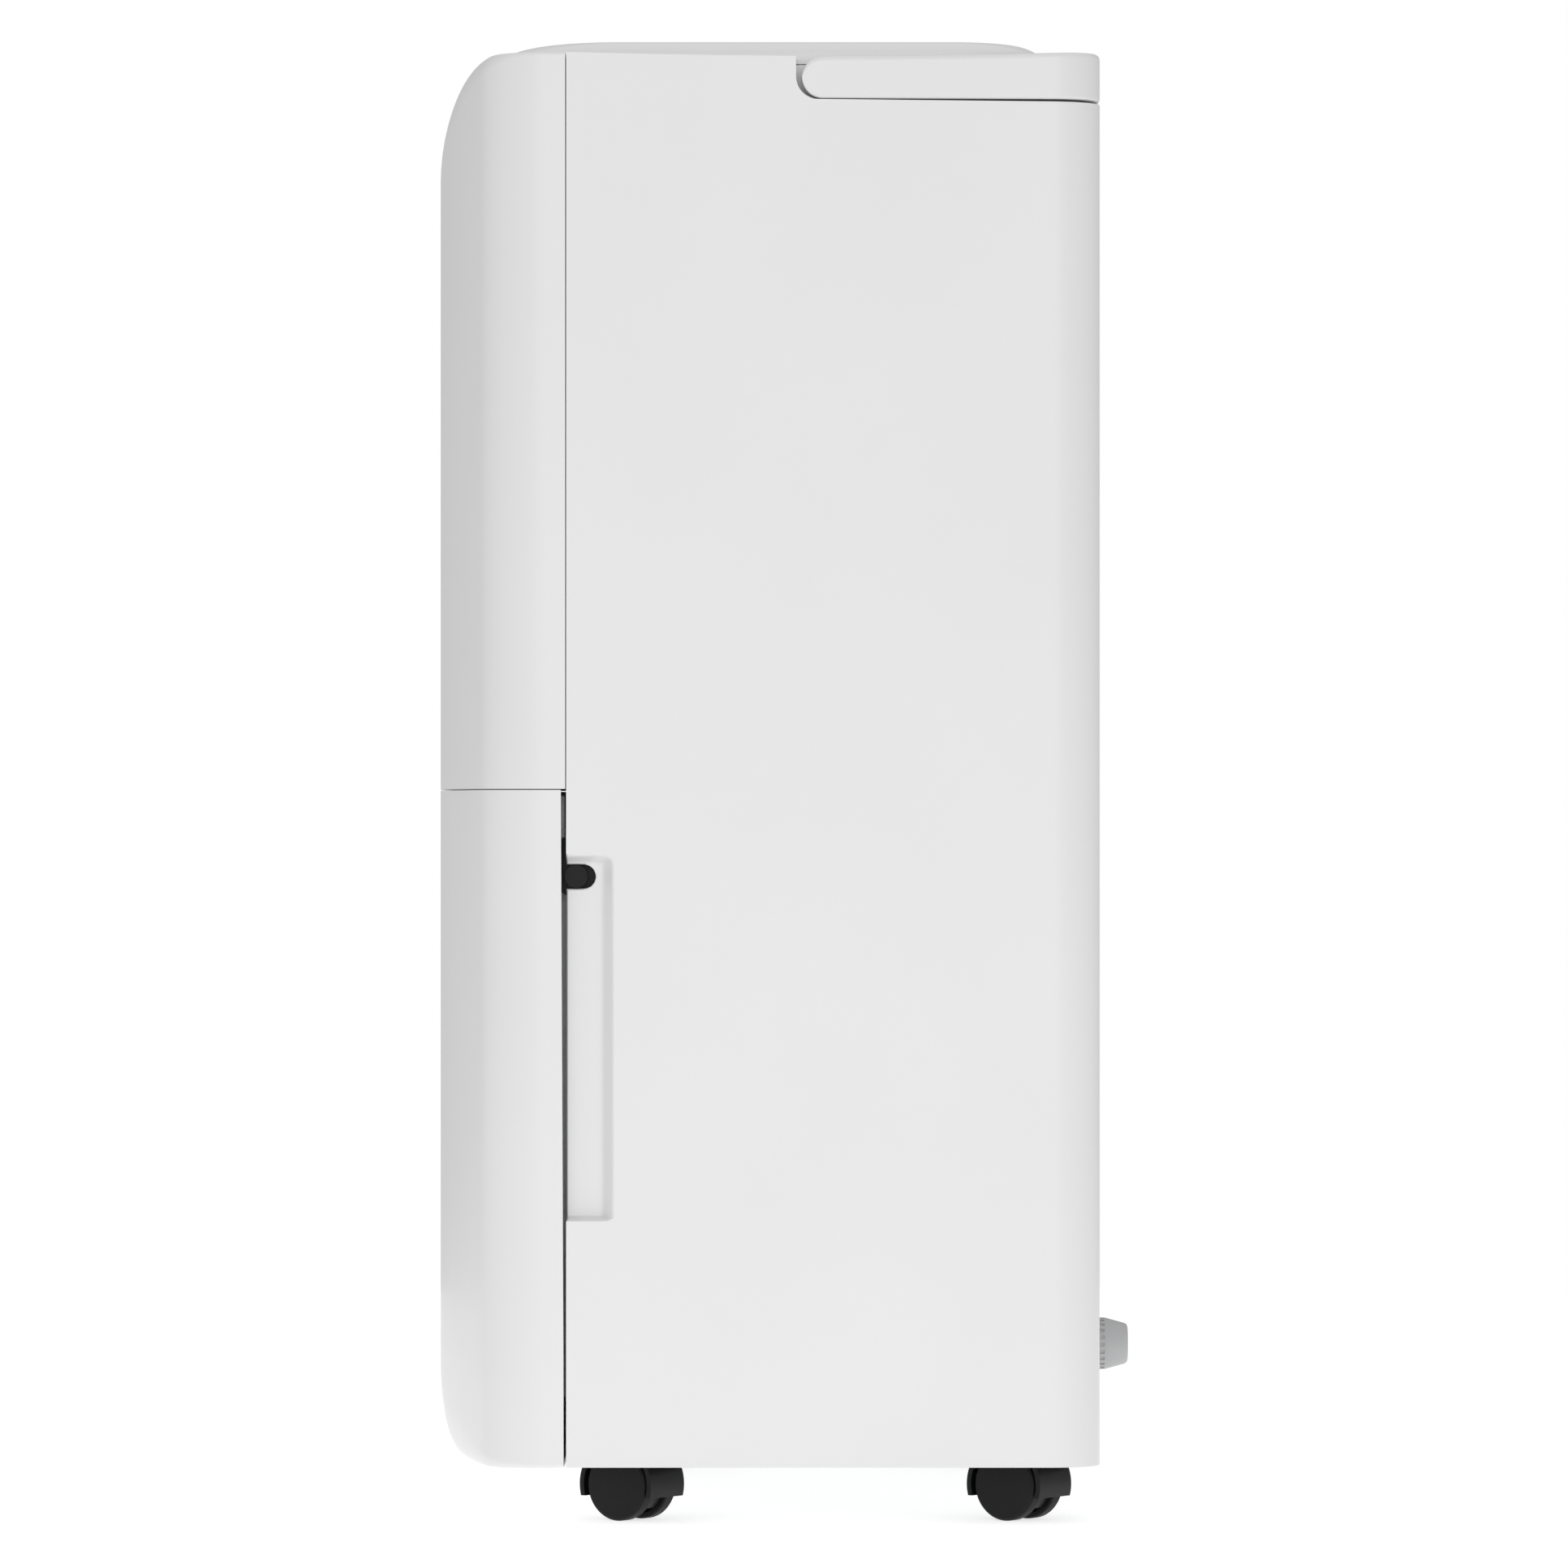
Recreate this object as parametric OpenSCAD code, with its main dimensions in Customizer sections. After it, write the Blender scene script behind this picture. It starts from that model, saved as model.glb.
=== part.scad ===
// Portable dehumidifier on four twin-wheel casters.
// Frame: +Z up, the front faces -Y, origin on the floor at the centre of the overall box.
// All sizes are in millimetres.

/* [Body] */
// Width over the two side walls
body_w = 392; // [350:1:440]
// Depth from the crown of the bowed front to the flat back
body_d = 280; // [260:1:320]
// Height of the side walls' top edge above the floor
body_top = 609.5; // [580:0.5:660]
// Height of the body's underside above the floor
base_z = 24; // [22:0.5:30]
// Thickness of the moulded shells
wall = 2.5; // [2:0.1:3]
// Radius of the upright corners beside the bowed front
front_corner_r = 30; // [24:1:36]
// Radius of the upright corners at the back
rear_corner_r = 20; // [16:1:24]
// Distance from the back to the seam between cabinet and front
seam_from_back = 221.5; // [210:0.5:226]
// Straight stretch of side between the seam and the front corner
side_run = 6.7; // [4:0.1:9]
// Gap of the fixed seams between mouldings
seam_gap = 0.4; // [0.2:0.1:0.6]
// Depth of the rounded shoulder at the top of the front
shoulder_d = 31; // [26:1:36]
// Height of the rounded shoulder at the top of the front
shoulder_h = 42; // [36:1:50]
// Depth of the rounded chin at the bottom of the front
chin_d = 20; // [16:1:24]
// Height of the rounded chin at the bottom of the front
chin_h = 30; // [24:1:36]
// How far the chin hangs below the cabinet's underside
chin_drop = 1.2; // [0:0.1:1.6]
// Dip of the side walls' top edge at its middle
top_sag = 1.7; // [1:0.1:2.2]

/* [Top cover] */
// Rise of the raised plateau above the side walls
plateau_rise = 6.5; // [6:0.5:8]
// Distance from the side faces to the foot of the plateau
plateau_inset = 24; // [22:1:30]
// Distance from the back face to the foot of the plateau
plateau_rear = 26; // [25:1:32]
// Run of the plateau's slope at the front
plateau_front_run = 27; // [20:1:30]
// Run of the plateau's slope at the sides
plateau_side_run = 7; // [5:0.5:8]
// Run of the plateau's slope at the back
plateau_rear_run = 17; // [8:0.5:20]
// Radius of the plateau's corners seen from above
plateau_corner_r = 34; // [20:1:40]
// Wall thickness of the plateau
cover_wall = 2.2; // [2:0.1:2.4]
// Width of the control panel
panel_w = 236; // [200:1:250]
// Depth of the control panel
panel_d = 44; // [40:1:48]
// Diameter of a push button
button_dia = 14; // [12:0.5:15]
// Distance between neighbouring buttons
button_pitch = 22; // [19:0.5:24]
// Travel of a push button
button_travel = 0.8; // [0.5:0.1:1]
// Width of the air outlet grille
outlet_w = 262; // [220:1:280]
// Depth of the air outlet grille
outlet_d = 66; // [56:1:72]
// Number of slats in the outlet grille
outlet_slats = 11; // [8:1:12]
// Distance from the seam forward to the control panel's front edge
panel_before_seam = 6.5; // [4:0.5:8]

/* [Carry handle] */
// Height of the handle's arms at the pivot
handle_h = 17.6; // [16:0.2:19]
// Thickness of the handle's arms and bar
handle_t = 12; // [11:0.5:13]
// Distance from the back face to the pivot
handle_pivot_from_back = 115; // [105:1:125]
// Height of the pivot below the side walls' top edge
handle_pivot_drop = 10.4; // [10:0.1:11]
// Clearance between the handle and its pocket
handle_gap = 1; // [0.8:0.1:1.2]
// Extra drop of the pocket's ledge at the back
ledge_drop = 1.3; // [0.8:0.1:2]
// Radius of the pivot pins
handle_pin_r = 4; // [3.5:0.1:4.5]

/* [Grip recesses] */
// Length of the finger recess back from the seam
recess_l = 20.2; // [16:0.2:24]
// Depth of the finger recess
recess_depth = 6; // [5:0.5:6.5]
// Height of the recess's lower edge above the floor
recess_low = 125.8; // [110:1:150]
// Height of the recess's upper edge above the floor
recess_high = 277.9; // [270:1:290]
// Run of the recess's sloped edges
recess_slope = 4.2; // [3:0.2:5]

/* [Water bucket] */
// Height of the bucket front's upper edge above the floor
bucket_top = 304.3; // [298:0.5:312]
// Gap behind the bucket front at its upper edge
bucket_gap_top = 2; // [1.6:0.1:2.4]
// Gap behind the bucket front at its lower edge
bucket_gap_low = 0.7; // [0.5:0.1:1]
// Half the width of the tub
tub_half_w = 180; // [150:1:180]
// Height of the tub's floor above the floor
tub_low = 52; // [52:1:56]
// Height of the tub's rim above the floor
tub_high = 286; // [284:1:290]
// Distance from the seam to the tub's back
tub_behind_seam = 60.5; // [50:1:62]
// Wall thickness of the tub
tub_wall = 2; // [1.8:0.1:2.6]
// Distance from the seam to the bail's pivot
bail_behind_seam = 4.2; // [3.5:0.1:5]
// Height of the bail's pivot above the floor
bail_z = 268.4; // [262:0.2:272]
// Radius of the bail's outer boss
bail_boss_r = 4.8; // [4:0.1:5.5]
// Radius of the bail's pins
bail_pin_r = 3; // [2.5:0.1:3.2]
// Distance from the bail's pivot to its grip
bail_reach = 52.3; // [50:0.1:54]
// Angle of the resting bail above the horizontal
bail_rest = 32; // [30:1:36]
// Width of the water level window
window_w = 16; // [12:1:20]
// Height of the water level window
window_h = 150; // [120:1:170]

/* [Intake and drain] */
// Width of the air intake opening in the back
intake_w = 280; // [240:1:290]
// Lower edge of the intake opening above the floor
intake_low = 345; // [340:1:360]
// Height of the intake opening
intake_h = 203; // [180:1:206]
// Thickness of the filter frame
filter_t = 6; // [5:0.5:7]
// Number of louvres across the filter frame
filter_louvres = 20; // [16:1:22]
// Distance of the drain spout from the middle
spout_x = 110; // [90:1:125]
// Height of the drain spout above the floor
spout_z = 70.5; // [64:0.5:80]
// Outer radius of the drain spout
spout_r = 8.3; // [7.5:0.1:8.6]
// Outer radius of the drain cap
cap_r = 10.9; // [10.6:0.1:12]
// How far the drain cap stands out of the back
cap_out = 14; // [12:0.5:16]
// Number of ribs round the drain cap
cap_ribs = 22; // [16:1:26]

/* [Casters] */
// Radius of a caster wheel
wheel_r = 15; // [14:0.5:16]
// Width of a caster wheel
wheel_w = 7.2; // [6:0.2:8]
// Thickness of the web between the wheels
web_t = 9; // [8.5:0.5:10]
// Clearance between a wheel's rim and the hood
hood_gap = 1.2; // [1:0.1:1.6]
// Thickness of the hood
hood_wall = 2.1; // [1.8:0.1:2.4]
// Offset from the swivel axis to the wheel axle
trail = 3; // [2:0.5:3]
// Radius of the caster stem
stem_r = 3.5; // [3:0.1:3.8]
// Distance of the swivel axes from the middle
caster_x = 163; // [150:1:164]
// Distance from the seam to the front swivel axes
caster_front = 29.3; // [28.5:0.5:40]
// Distance from the front to the rear swivel axes
wheelbase = 161.5; // [140:0.5:162]
// Resting turn of the casters about their stems
caster_turn = -35; // [-45:1:45]

/* [Refrigeration] */
// Radius of the compressor's can
comp_r = 58; // [50:1:60]
// Height of the compressor's can
comp_h = 190; // [170:1:200]
// Radius of the fan wheel
fan_r = 86; // [75:1:88]
// Width of the fan wheel
fan_w = 46; // [40:1:48]
// Number of blades on the fan wheel
fan_blades = 32; // [24:1:36]
// Height of the fan's axis above the floor
fan_z = 452; // [448:1:458]
// Width of the two coils
coil_w = 250; // [220:1:256]
// Height of the two coils
coil_h = 192; // [170:1:196]
// Radius of the coils' tubes
tube_r = 4; // [3.5:0.1:4.5]
// Height of the drip tray's underside above the floor
tray_low = 335; // [333:1:338]

/* [Hidden] */
$fn = 96;

white = "white";
black = "dimgray";
fit = 0.06;                 // radial clearance of running fits
slip = 0.3;                 // clearance between pieces that slide or lie side by side

// Places along the depth
y_back = (body_d - cap_out) / 2;
y_crown = y_back - body_d;
y_seam = y_back - seam_from_back;
half_w = body_w / 2;

// Plan outline: side, corner circle and bow circle touch one another
corner_x = half_w - front_corner_r;
corner_y = y_seam - side_run;
bow_rise = corner_y - y_crown;
bow_r = (corner_x * corner_x + bow_rise * bow_rise - front_corner_r * front_corner_r)
        / (2 * (bow_rise - front_corner_r));
bow_y = y_crown + bow_r;
ray_overlap = 5;            // stretch by which the bow's wedge runs into the sides
rear_x = half_w - rear_corner_r;
rear_y = y_back - rear_corner_r;

top_z = body_top + plateau_rise;
cabinet_len = seam_from_back;
sag_r = cabinet_len * cabinet_len / (8 * top_sag);

handle_y = y_back - handle_pivot_from_back;
handle_z = body_top - handle_pivot_drop;
handle_low = handle_z - handle_h / 2;
pocket_wall_in = handle_t + handle_gap;
pocket_gap_front = 2.4;

tub_back = y_seam + tub_behind_seam;
bail_y = y_seam + bail_behind_seam;
bay_wall_y = tub_back + 4;
tray_floor = 3;

panel_y = y_seam - panel_before_seam;
deck_z = body_top - top_sag - wall;   // underside of the deck round the plateau

tub_inset = wall + 1.6;
float_x = [104, 142];               // middles of the float's two ears
float_y = tub_back - 9;
float_z = 262;
sensor_x = (float_x[0] + float_x[1]) / 2;
sensor_z = float_z - 14;

caster_y = [y_seam + caster_front, y_seam + caster_front + wheelbase];
well_r = norm([wheel_r + hood_gap + hood_wall + trail, web_t / 2 + wheel_w + 0.5]) + 1;
well_top = wheel_r * 2 + hood_gap + hood_wall + 1.7;
socket_top = tub_low - 2;
stem_top = socket_top - 2;

fan_y = 4;
scroll_y = fan_y - 8;
scroll_d = fan_w + 16;
outlet_y = scroll_y + (scroll_d - outlet_d) / 2;
comp_x = -62;
comp_y = bay_wall_y + 12 + comp_r;
comp_low = base_z + 22;
mount_out = 8;              // distance of a mount's axis from the compressor's can
evap_y = y_back - filter_t - 8 - 26;
cond_y = evap_y - 30;
coil_low = tray_low + 16;

// ---------- shared shapes ----------

// Whole plan outline, moved inwards by inset
module plan(inset = 0) {
    translate([-(half_w - inset), corner_y])
        square([2 * (half_w - inset), rear_y - corner_y]);
    translate([-rear_x, corner_y])
        square([2 * rear_x, y_back - inset - corner_y]);
    for (side = [-1, 1]) {
        translate([side * rear_x, rear_y]) circle(rear_corner_r - inset);
        translate([side * corner_x, corner_y]) circle(front_corner_r - inset);
    }
    // The bow lies between two rays from its centre through the corner centres
    near = (bow_y - corner_y - ray_overlap) / (bow_y - corner_y);
    far = 1.2 * bow_r / (bow_y - corner_y);
    intersection() {
        translate([0, bow_y]) circle(bow_r - inset, $fn = 720);
        polygon([[-corner_x * near, bow_y - (bow_y - corner_y) * near],
                 [corner_x * near, bow_y - (bow_y - corner_y) * near],
                 [corner_x * far, bow_y - (bow_y - corner_y) * far],
                 [-corner_x * far, bow_y - (bow_y - corner_y) * far]]);
    }
}

// Points of a quarter of an ellipse
function arc_points(cy, cz, a, b, from, to, n = 12) =
    [for (i = [0:n]) let (t = from + (to - from) * i / n) [cy + a * cos(t), cz + b * sin(t)]];

// Extrudes a shape drawn in Y and Z along X
module along_x(length) {
    rotate([90, 0, 90]) linear_extrude(length, center = true) children();
}

// Cylinder along X whose middle is at x
module pin_x(r, length, x, y, z) {
    translate([x, y, z]) rotate([0, 90, 0]) cylinder(r = r, h = length, center = true);
}

// Cylinder along Y from y0 to y1
module rod_y(r, x, z, y0, y1) {
    translate([x, y0, z]) rotate([-90, 0, 0]) cylinder(r = r, h = y1 - y0);
}

// Box between two corners
module span(low, high) {
    translate(low) cube(high - low);
}

// Side profile with the shoulder and the chin, moved inwards by inset
module side_profile(inset = 0) {
    shoulder_y = y_crown + shoulder_d;
    chin_y = y_crown + chin_d;
    low = base_z - chin_drop;
    polygon(concat(
        [[y_back + 5, body_top - inset]],
        arc_points(shoulder_y, body_top - shoulder_h, shoulder_d - inset, shoulder_h - inset,
                   90, 180),
        arc_points(chin_y, low + chin_h, chin_d - inset, chin_h - inset, 180, 270),
        [[y_seam, base_z + inset], [y_back + 5, base_z + inset]]));
}

module body_solid(inset = 0) {
    intersection() {
        linear_extrude(top_z + 10) plan(inset);
        along_x(body_w + 10) side_profile(inset);
    }
}

// What lies above the dipped top edge of the side walls
module above_sag() {
    pin_x(sag_r, body_w + 10, 0, (y_seam + y_back) / 2, body_top - top_sag + sag_r, $fn = 720);
}

// Ring of the plan outline from inset a to inset b
module plan_ring(a, b, low, high) {
    translate([0, 0, low]) linear_extrude(high - low) difference() {
        plan(a);
        plan(b);
    }
}

// ---------- cabinet and base ----------

// Outline in Y and Z of the pocket that holds one handle arm
module pocket_outline() {
    r = handle_h / 2 + 0.5;
    left = handle_y - handle_h / 2 - pocket_gap_front;
    floor_z = handle_low - slip;
    translate([left + r, floor_z + r]) circle(r);
    polygon([[left, floor_z + r], [left + r, floor_z + r], [left + r, floor_z],
             [y_back + 5, floor_z - ledge_drop], [y_back + 5, body_top + 5],
             [left, body_top + 5]]);
}

module handle_pocket() {
    intersection() {
        plan_ring(-2, pocket_wall_in, handle_low - 10, body_top + 5);
        along_x(body_w + 10) pocket_outline();
    }
}

module pocket_block() {
    left = handle_y - handle_h / 2 - pocket_gap_front;
    intersection() {
        plan_ring(0, pocket_wall_in + wall, handle_low - ledge_drop - slip - wall, deck_z - slip);
        span([-half_w, left - wall, 0], [half_w, y_back, top_z]);
    }
    for (side = [-1, 1])
        pin_x(handle_pin_r + 1.9, 6, side * (half_w - pocket_wall_in - wall - 2.5),
              handle_y, handle_z);
}

scoop_w = 120;
scoop_h = 26;
module scoop(grow) {
    span([-scoop_w / 2 - grow, y_back - pocket_wall_in - grow, handle_low - scoop_h - grow],
         [scoop_w / 2 + grow, y_back + (grow > 0 ? 0 : 1), handle_low + (grow > 0 ? -3 : 1)]);
}

// One finger recess; side is 1 for +X
module recess(side, grow = 0) {
    face = half_w + 0.01;
    deep = half_w - recess_depth - grow;
    back = y_seam + recess_l + grow;
    run = recess_slope;
    mirror([side < 0 ? 1 : 0, 0, 0])
        if (grow > 0)
            span([deep, y_seam + seam_gap / 2, recess_low - grow],
                 [half_w - wall / 2, back, recess_high + grow]);
        else
            intersection() {
                linear_extrude(top_z)
                    polygon([[deep, y_seam - 5], [face, y_seam - 5], [face, back],
                             [deep, back - run]]);
                translate([0, y_seam, 0]) rotate([90, 0, 0])
                    linear_extrude(2 * recess_l, center = true)
                        polygon([[deep, recess_low + run], [face, recess_low],
                                 [face, recess_high], [deep, recess_high - run]]);
            }
}

notch_r = bail_boss_r + 0.25;
module notch(side) {
    length = 2 * (recess_depth + wall + 0.5);
    pin_x(notch_r, length, side * half_w, y_seam + recess_l - 12.9, bail_z);
    span([side * half_w - length / 2, y_seam - 5, bail_z - notch_r],
         [side * half_w + length / 2, y_seam + recess_l - 12.9, bail_z + notch_r]);
}

screw_x = 158;
screw_z = [base_z + 20, tray_low + 7];
hinge_z = intake_low + filter_t / 2 + 0.5;
hinge_y = y_back - filter_t / 2;
hinge_pin_r = 1.5;

module cabinet() {
    color(white) difference() {
        union() {
            intersection() {
                plan_ring(0, wall, base_z, body_top + 2);
                span([-half_w, y_seam + seam_gap / 2, 0], [half_w, y_back, top_z + 5]);
            }
            pocket_block();
            scoop(wall);
            for (side = [-1, 1]) {
                recess(side, wall);
                for (z = screw_z) rod_y(6, side * screw_x, z, y_back - 5, y_back - 1);
                span([side * (intake_w / 2 + 3.5) - 3, y_back - 9, hinge_z - 6],
                     [side * (intake_w / 2 + 3.5) + 3, y_back - 1, hinge_z + 6]);
            }
        }
        above_sag();
        handle_pocket();
        scoop(0);
        span([-intake_w / 2, y_back - 30, intake_low], [intake_w / 2, y_back + 5, intake_low + intake_h]);
        for (side = [-1, 1]) {
            recess(side);
            notch(side);
            pin_x(handle_pin_r, 40, side * (half_w - pocket_wall_in - wall), handle_y, handle_z);
            pin_x(hinge_pin_r + fit, 5, side * (intake_w / 2 + 1.5), hinge_y, hinge_z);
            for (z = screw_z) {
                rod_y(1.9, side * screw_x, z, y_back - 10, y_back + 1);
                rod_y(3.8, side * screw_x, z, y_back - 2.2, y_back + 1);
            }
        }
        rod_y(spout_r + 0.1, spout_x, spout_z, y_back - 10, y_back + 1);
        rod_y(6.5, -130, 90, y_back - 10, y_back + 1);
    }
}

// Places of the compressor's three rubber mounts
module at_mounts() {
    translate([comp_x, comp_y, 0]) for (a = [90, 210, 330])
        rotate([0, 0, a]) translate([comp_r + mount_out, 0, 0]) children();
}

// Place of one caster's swivel axis; side is 1 for +X, row 0 is the front
module at_caster(side, row) {
    translate([side * caster_x, caster_y[row], 0]) children();
}

module base_pan() {
    rail_w = 6;
    color("gainsboro") difference() {
        union() {
            intersection() {
                translate([0, 0, base_z]) linear_extrude(3) plan(wall + 0.2);
                span([-half_w, y_seam + 1, 0], [half_w, y_back, top_z]);
            }
            for (side = [-1, 1]) for (row = [0, 1]) at_caster(side, row) {
                translate([0, 0, base_z]) cylinder(r = well_r + 2, h = well_top + 2.5 - base_z);
                translate([0, 0, well_top]) cylinder(r = 7, h = socket_top - well_top);
            }
            for (side = [-1, 1]) {
                span([side * 60 - rail_w / 2, y_seam + 3, base_z + 2],
                     [side * 60 + rail_w / 2, tub_back - 3, tub_low - slip]);
                span([side * screw_x - 6, y_back - 17, base_z + 2],
                     [side * screw_x + 6, y_back - 5.2, screw_z[0] + 6]);
            }
            at_mounts() translate([0, 0, base_z + 2]) cylinder(r = 10, h = 8);
        }
        for (side = [-1, 1]) {
            for (row = [0, 1]) at_caster(side, row) {
                translate([0, 0, base_z - 1]) cylinder(r = well_r, h = well_top - base_z + 1);
                cylinder(r = stem_r + fit, h = stem_top + 0.5);
            }
            rod_y(1.8, side * screw_x, screw_z[0], y_back - 14, y_back);
        }
    }
}

module rear_screws() {
    color("silver") for (side = [-1, 1]) for (z = screw_z) {
        rod_y(3.5, side * screw_x, z, y_back - 2.2, y_back - 0.3);
        rod_y(1.8, side * screw_x, z, y_back - 13, y_back - 2);
    }
}

// ---------- front and top ----------

opening_w = panel_w - 10;
panel_t = 2.8;
panel_gap = 0.15;
module panel_opening() {
    span([-opening_w / 2, panel_y + 5, body_top - 12],
         [opening_w / 2, panel_y + panel_d - 5, top_z + 1]);
}

module front_panel() {
    lip = 12;
    color(white) difference() {
        intersection() {
            union() {
                difference() {
                    body_solid(0);
                    body_solid(wall);
                }
                intersection() {
                    plan_ring(wall / 2, wall + lip, bucket_top + seam_gap, bucket_top + seam_gap + 2);
                    span([-half_w, y_crown, 0], [half_w, y_seam - 7, top_z]);
                }
            }
            span([-half_w - 1, y_crown - 1, bucket_top + seam_gap],
                 [half_w + 1, y_seam - seam_gap / 2, top_z + 1]);
        }
        panel_opening();
    }
}

// Raised plateau, moved inwards by inset
module plateau(inset = 0) {
    front = y_crown + shoulder_d;
    back = y_back - plateau_rear;
    half = half_w - plateau_inset;
    low = inset > 0 ? deck_z - 1 : body_top - top_sag;
    h = plateau_rise - inset;
    intersection() {
        along_x(body_w) polygon(concat(
            [[front + inset, low]],
            arc_points(front + plateau_front_run, body_top, plateau_front_run - inset, h, 180, 90, 8),
            arc_points(back - plateau_rear_run, body_top, plateau_rear_run - inset, h, 90, 0, 8),
            [[back - inset, low]]));
        rotate([90, 0, 0]) linear_extrude(body_d * 2, center = true) polygon(concat(
            [[-half + inset, low]],
            arc_points(-half + plateau_side_run, body_top, plateau_side_run - inset, h, 180, 90, 6),
            arc_points(half - plateau_side_run, body_top, plateau_side_run - inset, h, 90, 0, 6),
            [[half - inset, low]]));
        translate([0, 0, low - 1]) linear_extrude(top_z - low + 2) {
            r = plateau_corner_r;
            for (sx = [-1, 1]) for (y = [front + r, back - r])
                translate([sx * (half - r), y]) circle(r - inset);
            translate([-half + inset, front + r]) square([2 * (half - inset), back - front - 2 * r]);
            translate([-half + r, front + inset]) square([2 * (half - r), back - front - 2 * inset]);
        }
    }
}

module top_cover() {
    rim = 2;
    color(white) difference() {
        union() {
            difference() {
                union() {
                    plateau(0);
                    difference() {
                        translate([0, 0, deck_z]) linear_extrude(body_top - deck_z) plan(wall + 0.2);
                        span([-half_w, y_crown, 0], [half_w, y_seam + seam_gap / 2, top_z]);
                        above_sag();
                    }
                }
                plateau(cover_wall);
                span([-half_w, y_crown, deck_z - 1], [half_w, y_seam + seam_gap / 2, body_top]);
            }
            span([-panel_w / 2 - rim, panel_y - rim, body_top],
                 [panel_w / 2 + rim, panel_y + panel_d + rim, top_z - 1]);
        }
        handle_pocket();
        span([-panel_w / 2 - panel_gap, panel_y - panel_gap, top_z - panel_t - 0.2],
             [panel_w / 2 + panel_gap, panel_y + panel_d + panel_gap, top_z + 1]);
        span([-opening_w / 2, panel_y + 5, body_top - 1], [opening_w / 2, panel_y + panel_d - 5, top_z]);
        span([-outlet_w / 2, outlet_y, deck_z - 5], [outlet_w / 2, outlet_y + outlet_d, top_z + 1]);
    }
}

module outlet_grille() {
    t = 2.4;
    depth = 11;
    gap = 0.25;
    pitch = (outlet_d - 2 * t) / (outlet_slats + 1);
    top = top_z - 0.2;
    color("whitesmoke") {
        difference() {
            span([-outlet_w / 2 + gap, outlet_y + gap, top - depth],
                 [outlet_w / 2 - gap, outlet_y + outlet_d - gap, top]);
            span([-outlet_w / 2 + gap + t, outlet_y + gap + t, top - depth - 1],
                 [outlet_w / 2 - gap - t, outlet_y + outlet_d - gap - t, top + 1]);
        }
        intersection() {
            union() {
                for (i = [1:outlet_slats])
                    translate([0, outlet_y + t + i * pitch, top - 4.6]) rotate([30, 0, 0])
                        cube([outlet_w - 2 * gap - t, 1.4, 8.5], center = true);
                for (x = [-1, 0, 1])
                    translate([x * outlet_w / 4, outlet_y + outlet_d / 2, top - 7])
                        cube([1.6, outlet_d - t, 5], center = true);
            }
            span([-outlet_w / 2 + gap + 1, outlet_y + gap + 1, top - depth],
                 [outlet_w / 2 - gap - 1, outlet_y + outlet_d - gap - 1, top - 0.4]);
        }
    }
}

display_w = 46;
display_d = 20;
button_y = panel_y + panel_d * 0.5;
button_names = ["button_power", "button_mode", "button_fan", "button_up", "button_down", "button_timer"];
function button_x(i) = (i < 3 ? -1 : 1) * (display_w / 2 + 14 + (i < 3 ? 2 - i : i - 3) * button_pitch);

module control_panel() {
    color("darkgray") difference() {
        translate([-panel_w / 2, panel_y, top_z - 0.2 - panel_t]) cube([panel_w, panel_d, panel_t]);
        for (i = [0:5]) translate([button_x(i), button_y, top_z - 5])
            cylinder(r = button_dia / 2 + 0.3, h = 8);
        span([-display_w / 2 - 0.1, button_y - display_d / 2 - 0.1, top_z - 1.6],
             [display_w / 2 + 0.1, button_y + display_d / 2 + 0.1, top_z]);
        span([-display_w / 2 + 2, button_y - display_d / 2 + 2, top_z - 5],
             [display_w / 2 - 2, button_y + display_d / 2 - 2, top_z]);
    }
    color("darkgray") for (sx = [-1, 1]) for (y = [panel_y + 11, panel_y + panel_d - 11])
        translate([sx * (opening_w / 2 - 7), y, board_z + 1.6])
            cylinder(r = 2.5, h = top_z - 3 - board_z - 1.6);
}

module display_window() {
    color("black") span([-display_w / 2, button_y - display_d / 2, top_z - 1.6],
                        [display_w / 2, button_y + display_d / 2, top_z - 0.1]);
}

module push_button(i) {
    color("lightgray") translate([button_x(i), button_y, 0]) {
        translate([0, 0, top_z - 4.2]) cylinder(r = button_dia / 2, h = 4.2);
        translate([0, 0, top_z - 5]) cylinder(r = button_dia / 2 + 1.2, h = 1.4);
    }
}

board_z = body_top - 8;
module control_board() {
    color("darkgreen") {
        translate([-opening_w / 2 + 3, panel_y + 7, board_z]) cube([opening_w - 6, panel_d - 14, 1.6]);
        for (i = [0:5]) translate([button_x(i), button_y, board_z + 1.6])
            cylinder(r = 3, h = top_z - 5 - button_travel - 0.2 - board_z - 1.6);
        translate([-display_w / 2 + 4, button_y - 6, board_z + 1.6]) cube([display_w - 8, 12, 7]);
    }
}

// ---------- carry handle ----------

module carry_handle() {
    r = handle_h / 2;
    color(white) difference() {
        intersection() {
            plan_ring(0, handle_t, handle_low - 5, body_top + 2);
            along_x(body_w + 10) union() {
                translate([handle_y, handle_z]) circle(r);
                polygon([[handle_y, handle_low], [y_back + 5, handle_low - 0.4],
                         [y_back + 5, body_top + 2], [handle_y + r, body_top + 2],
                         [handle_y, handle_z + r]]);
            }
        }
        above_sag();
        for (side = [-1, 1])
            pin_x(handle_pin_r + fit, 2 * handle_t - 7, side * (half_w - handle_t),
                  handle_y, handle_z);
    }
}

module handle_pins() {
    color("silver") for (side = [-1, 1])
        pin_x(handle_pin_r, 15, side * (half_w - handle_t + 0.5), handle_y, handle_z);
}

// ---------- inside the housing ----------

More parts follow.
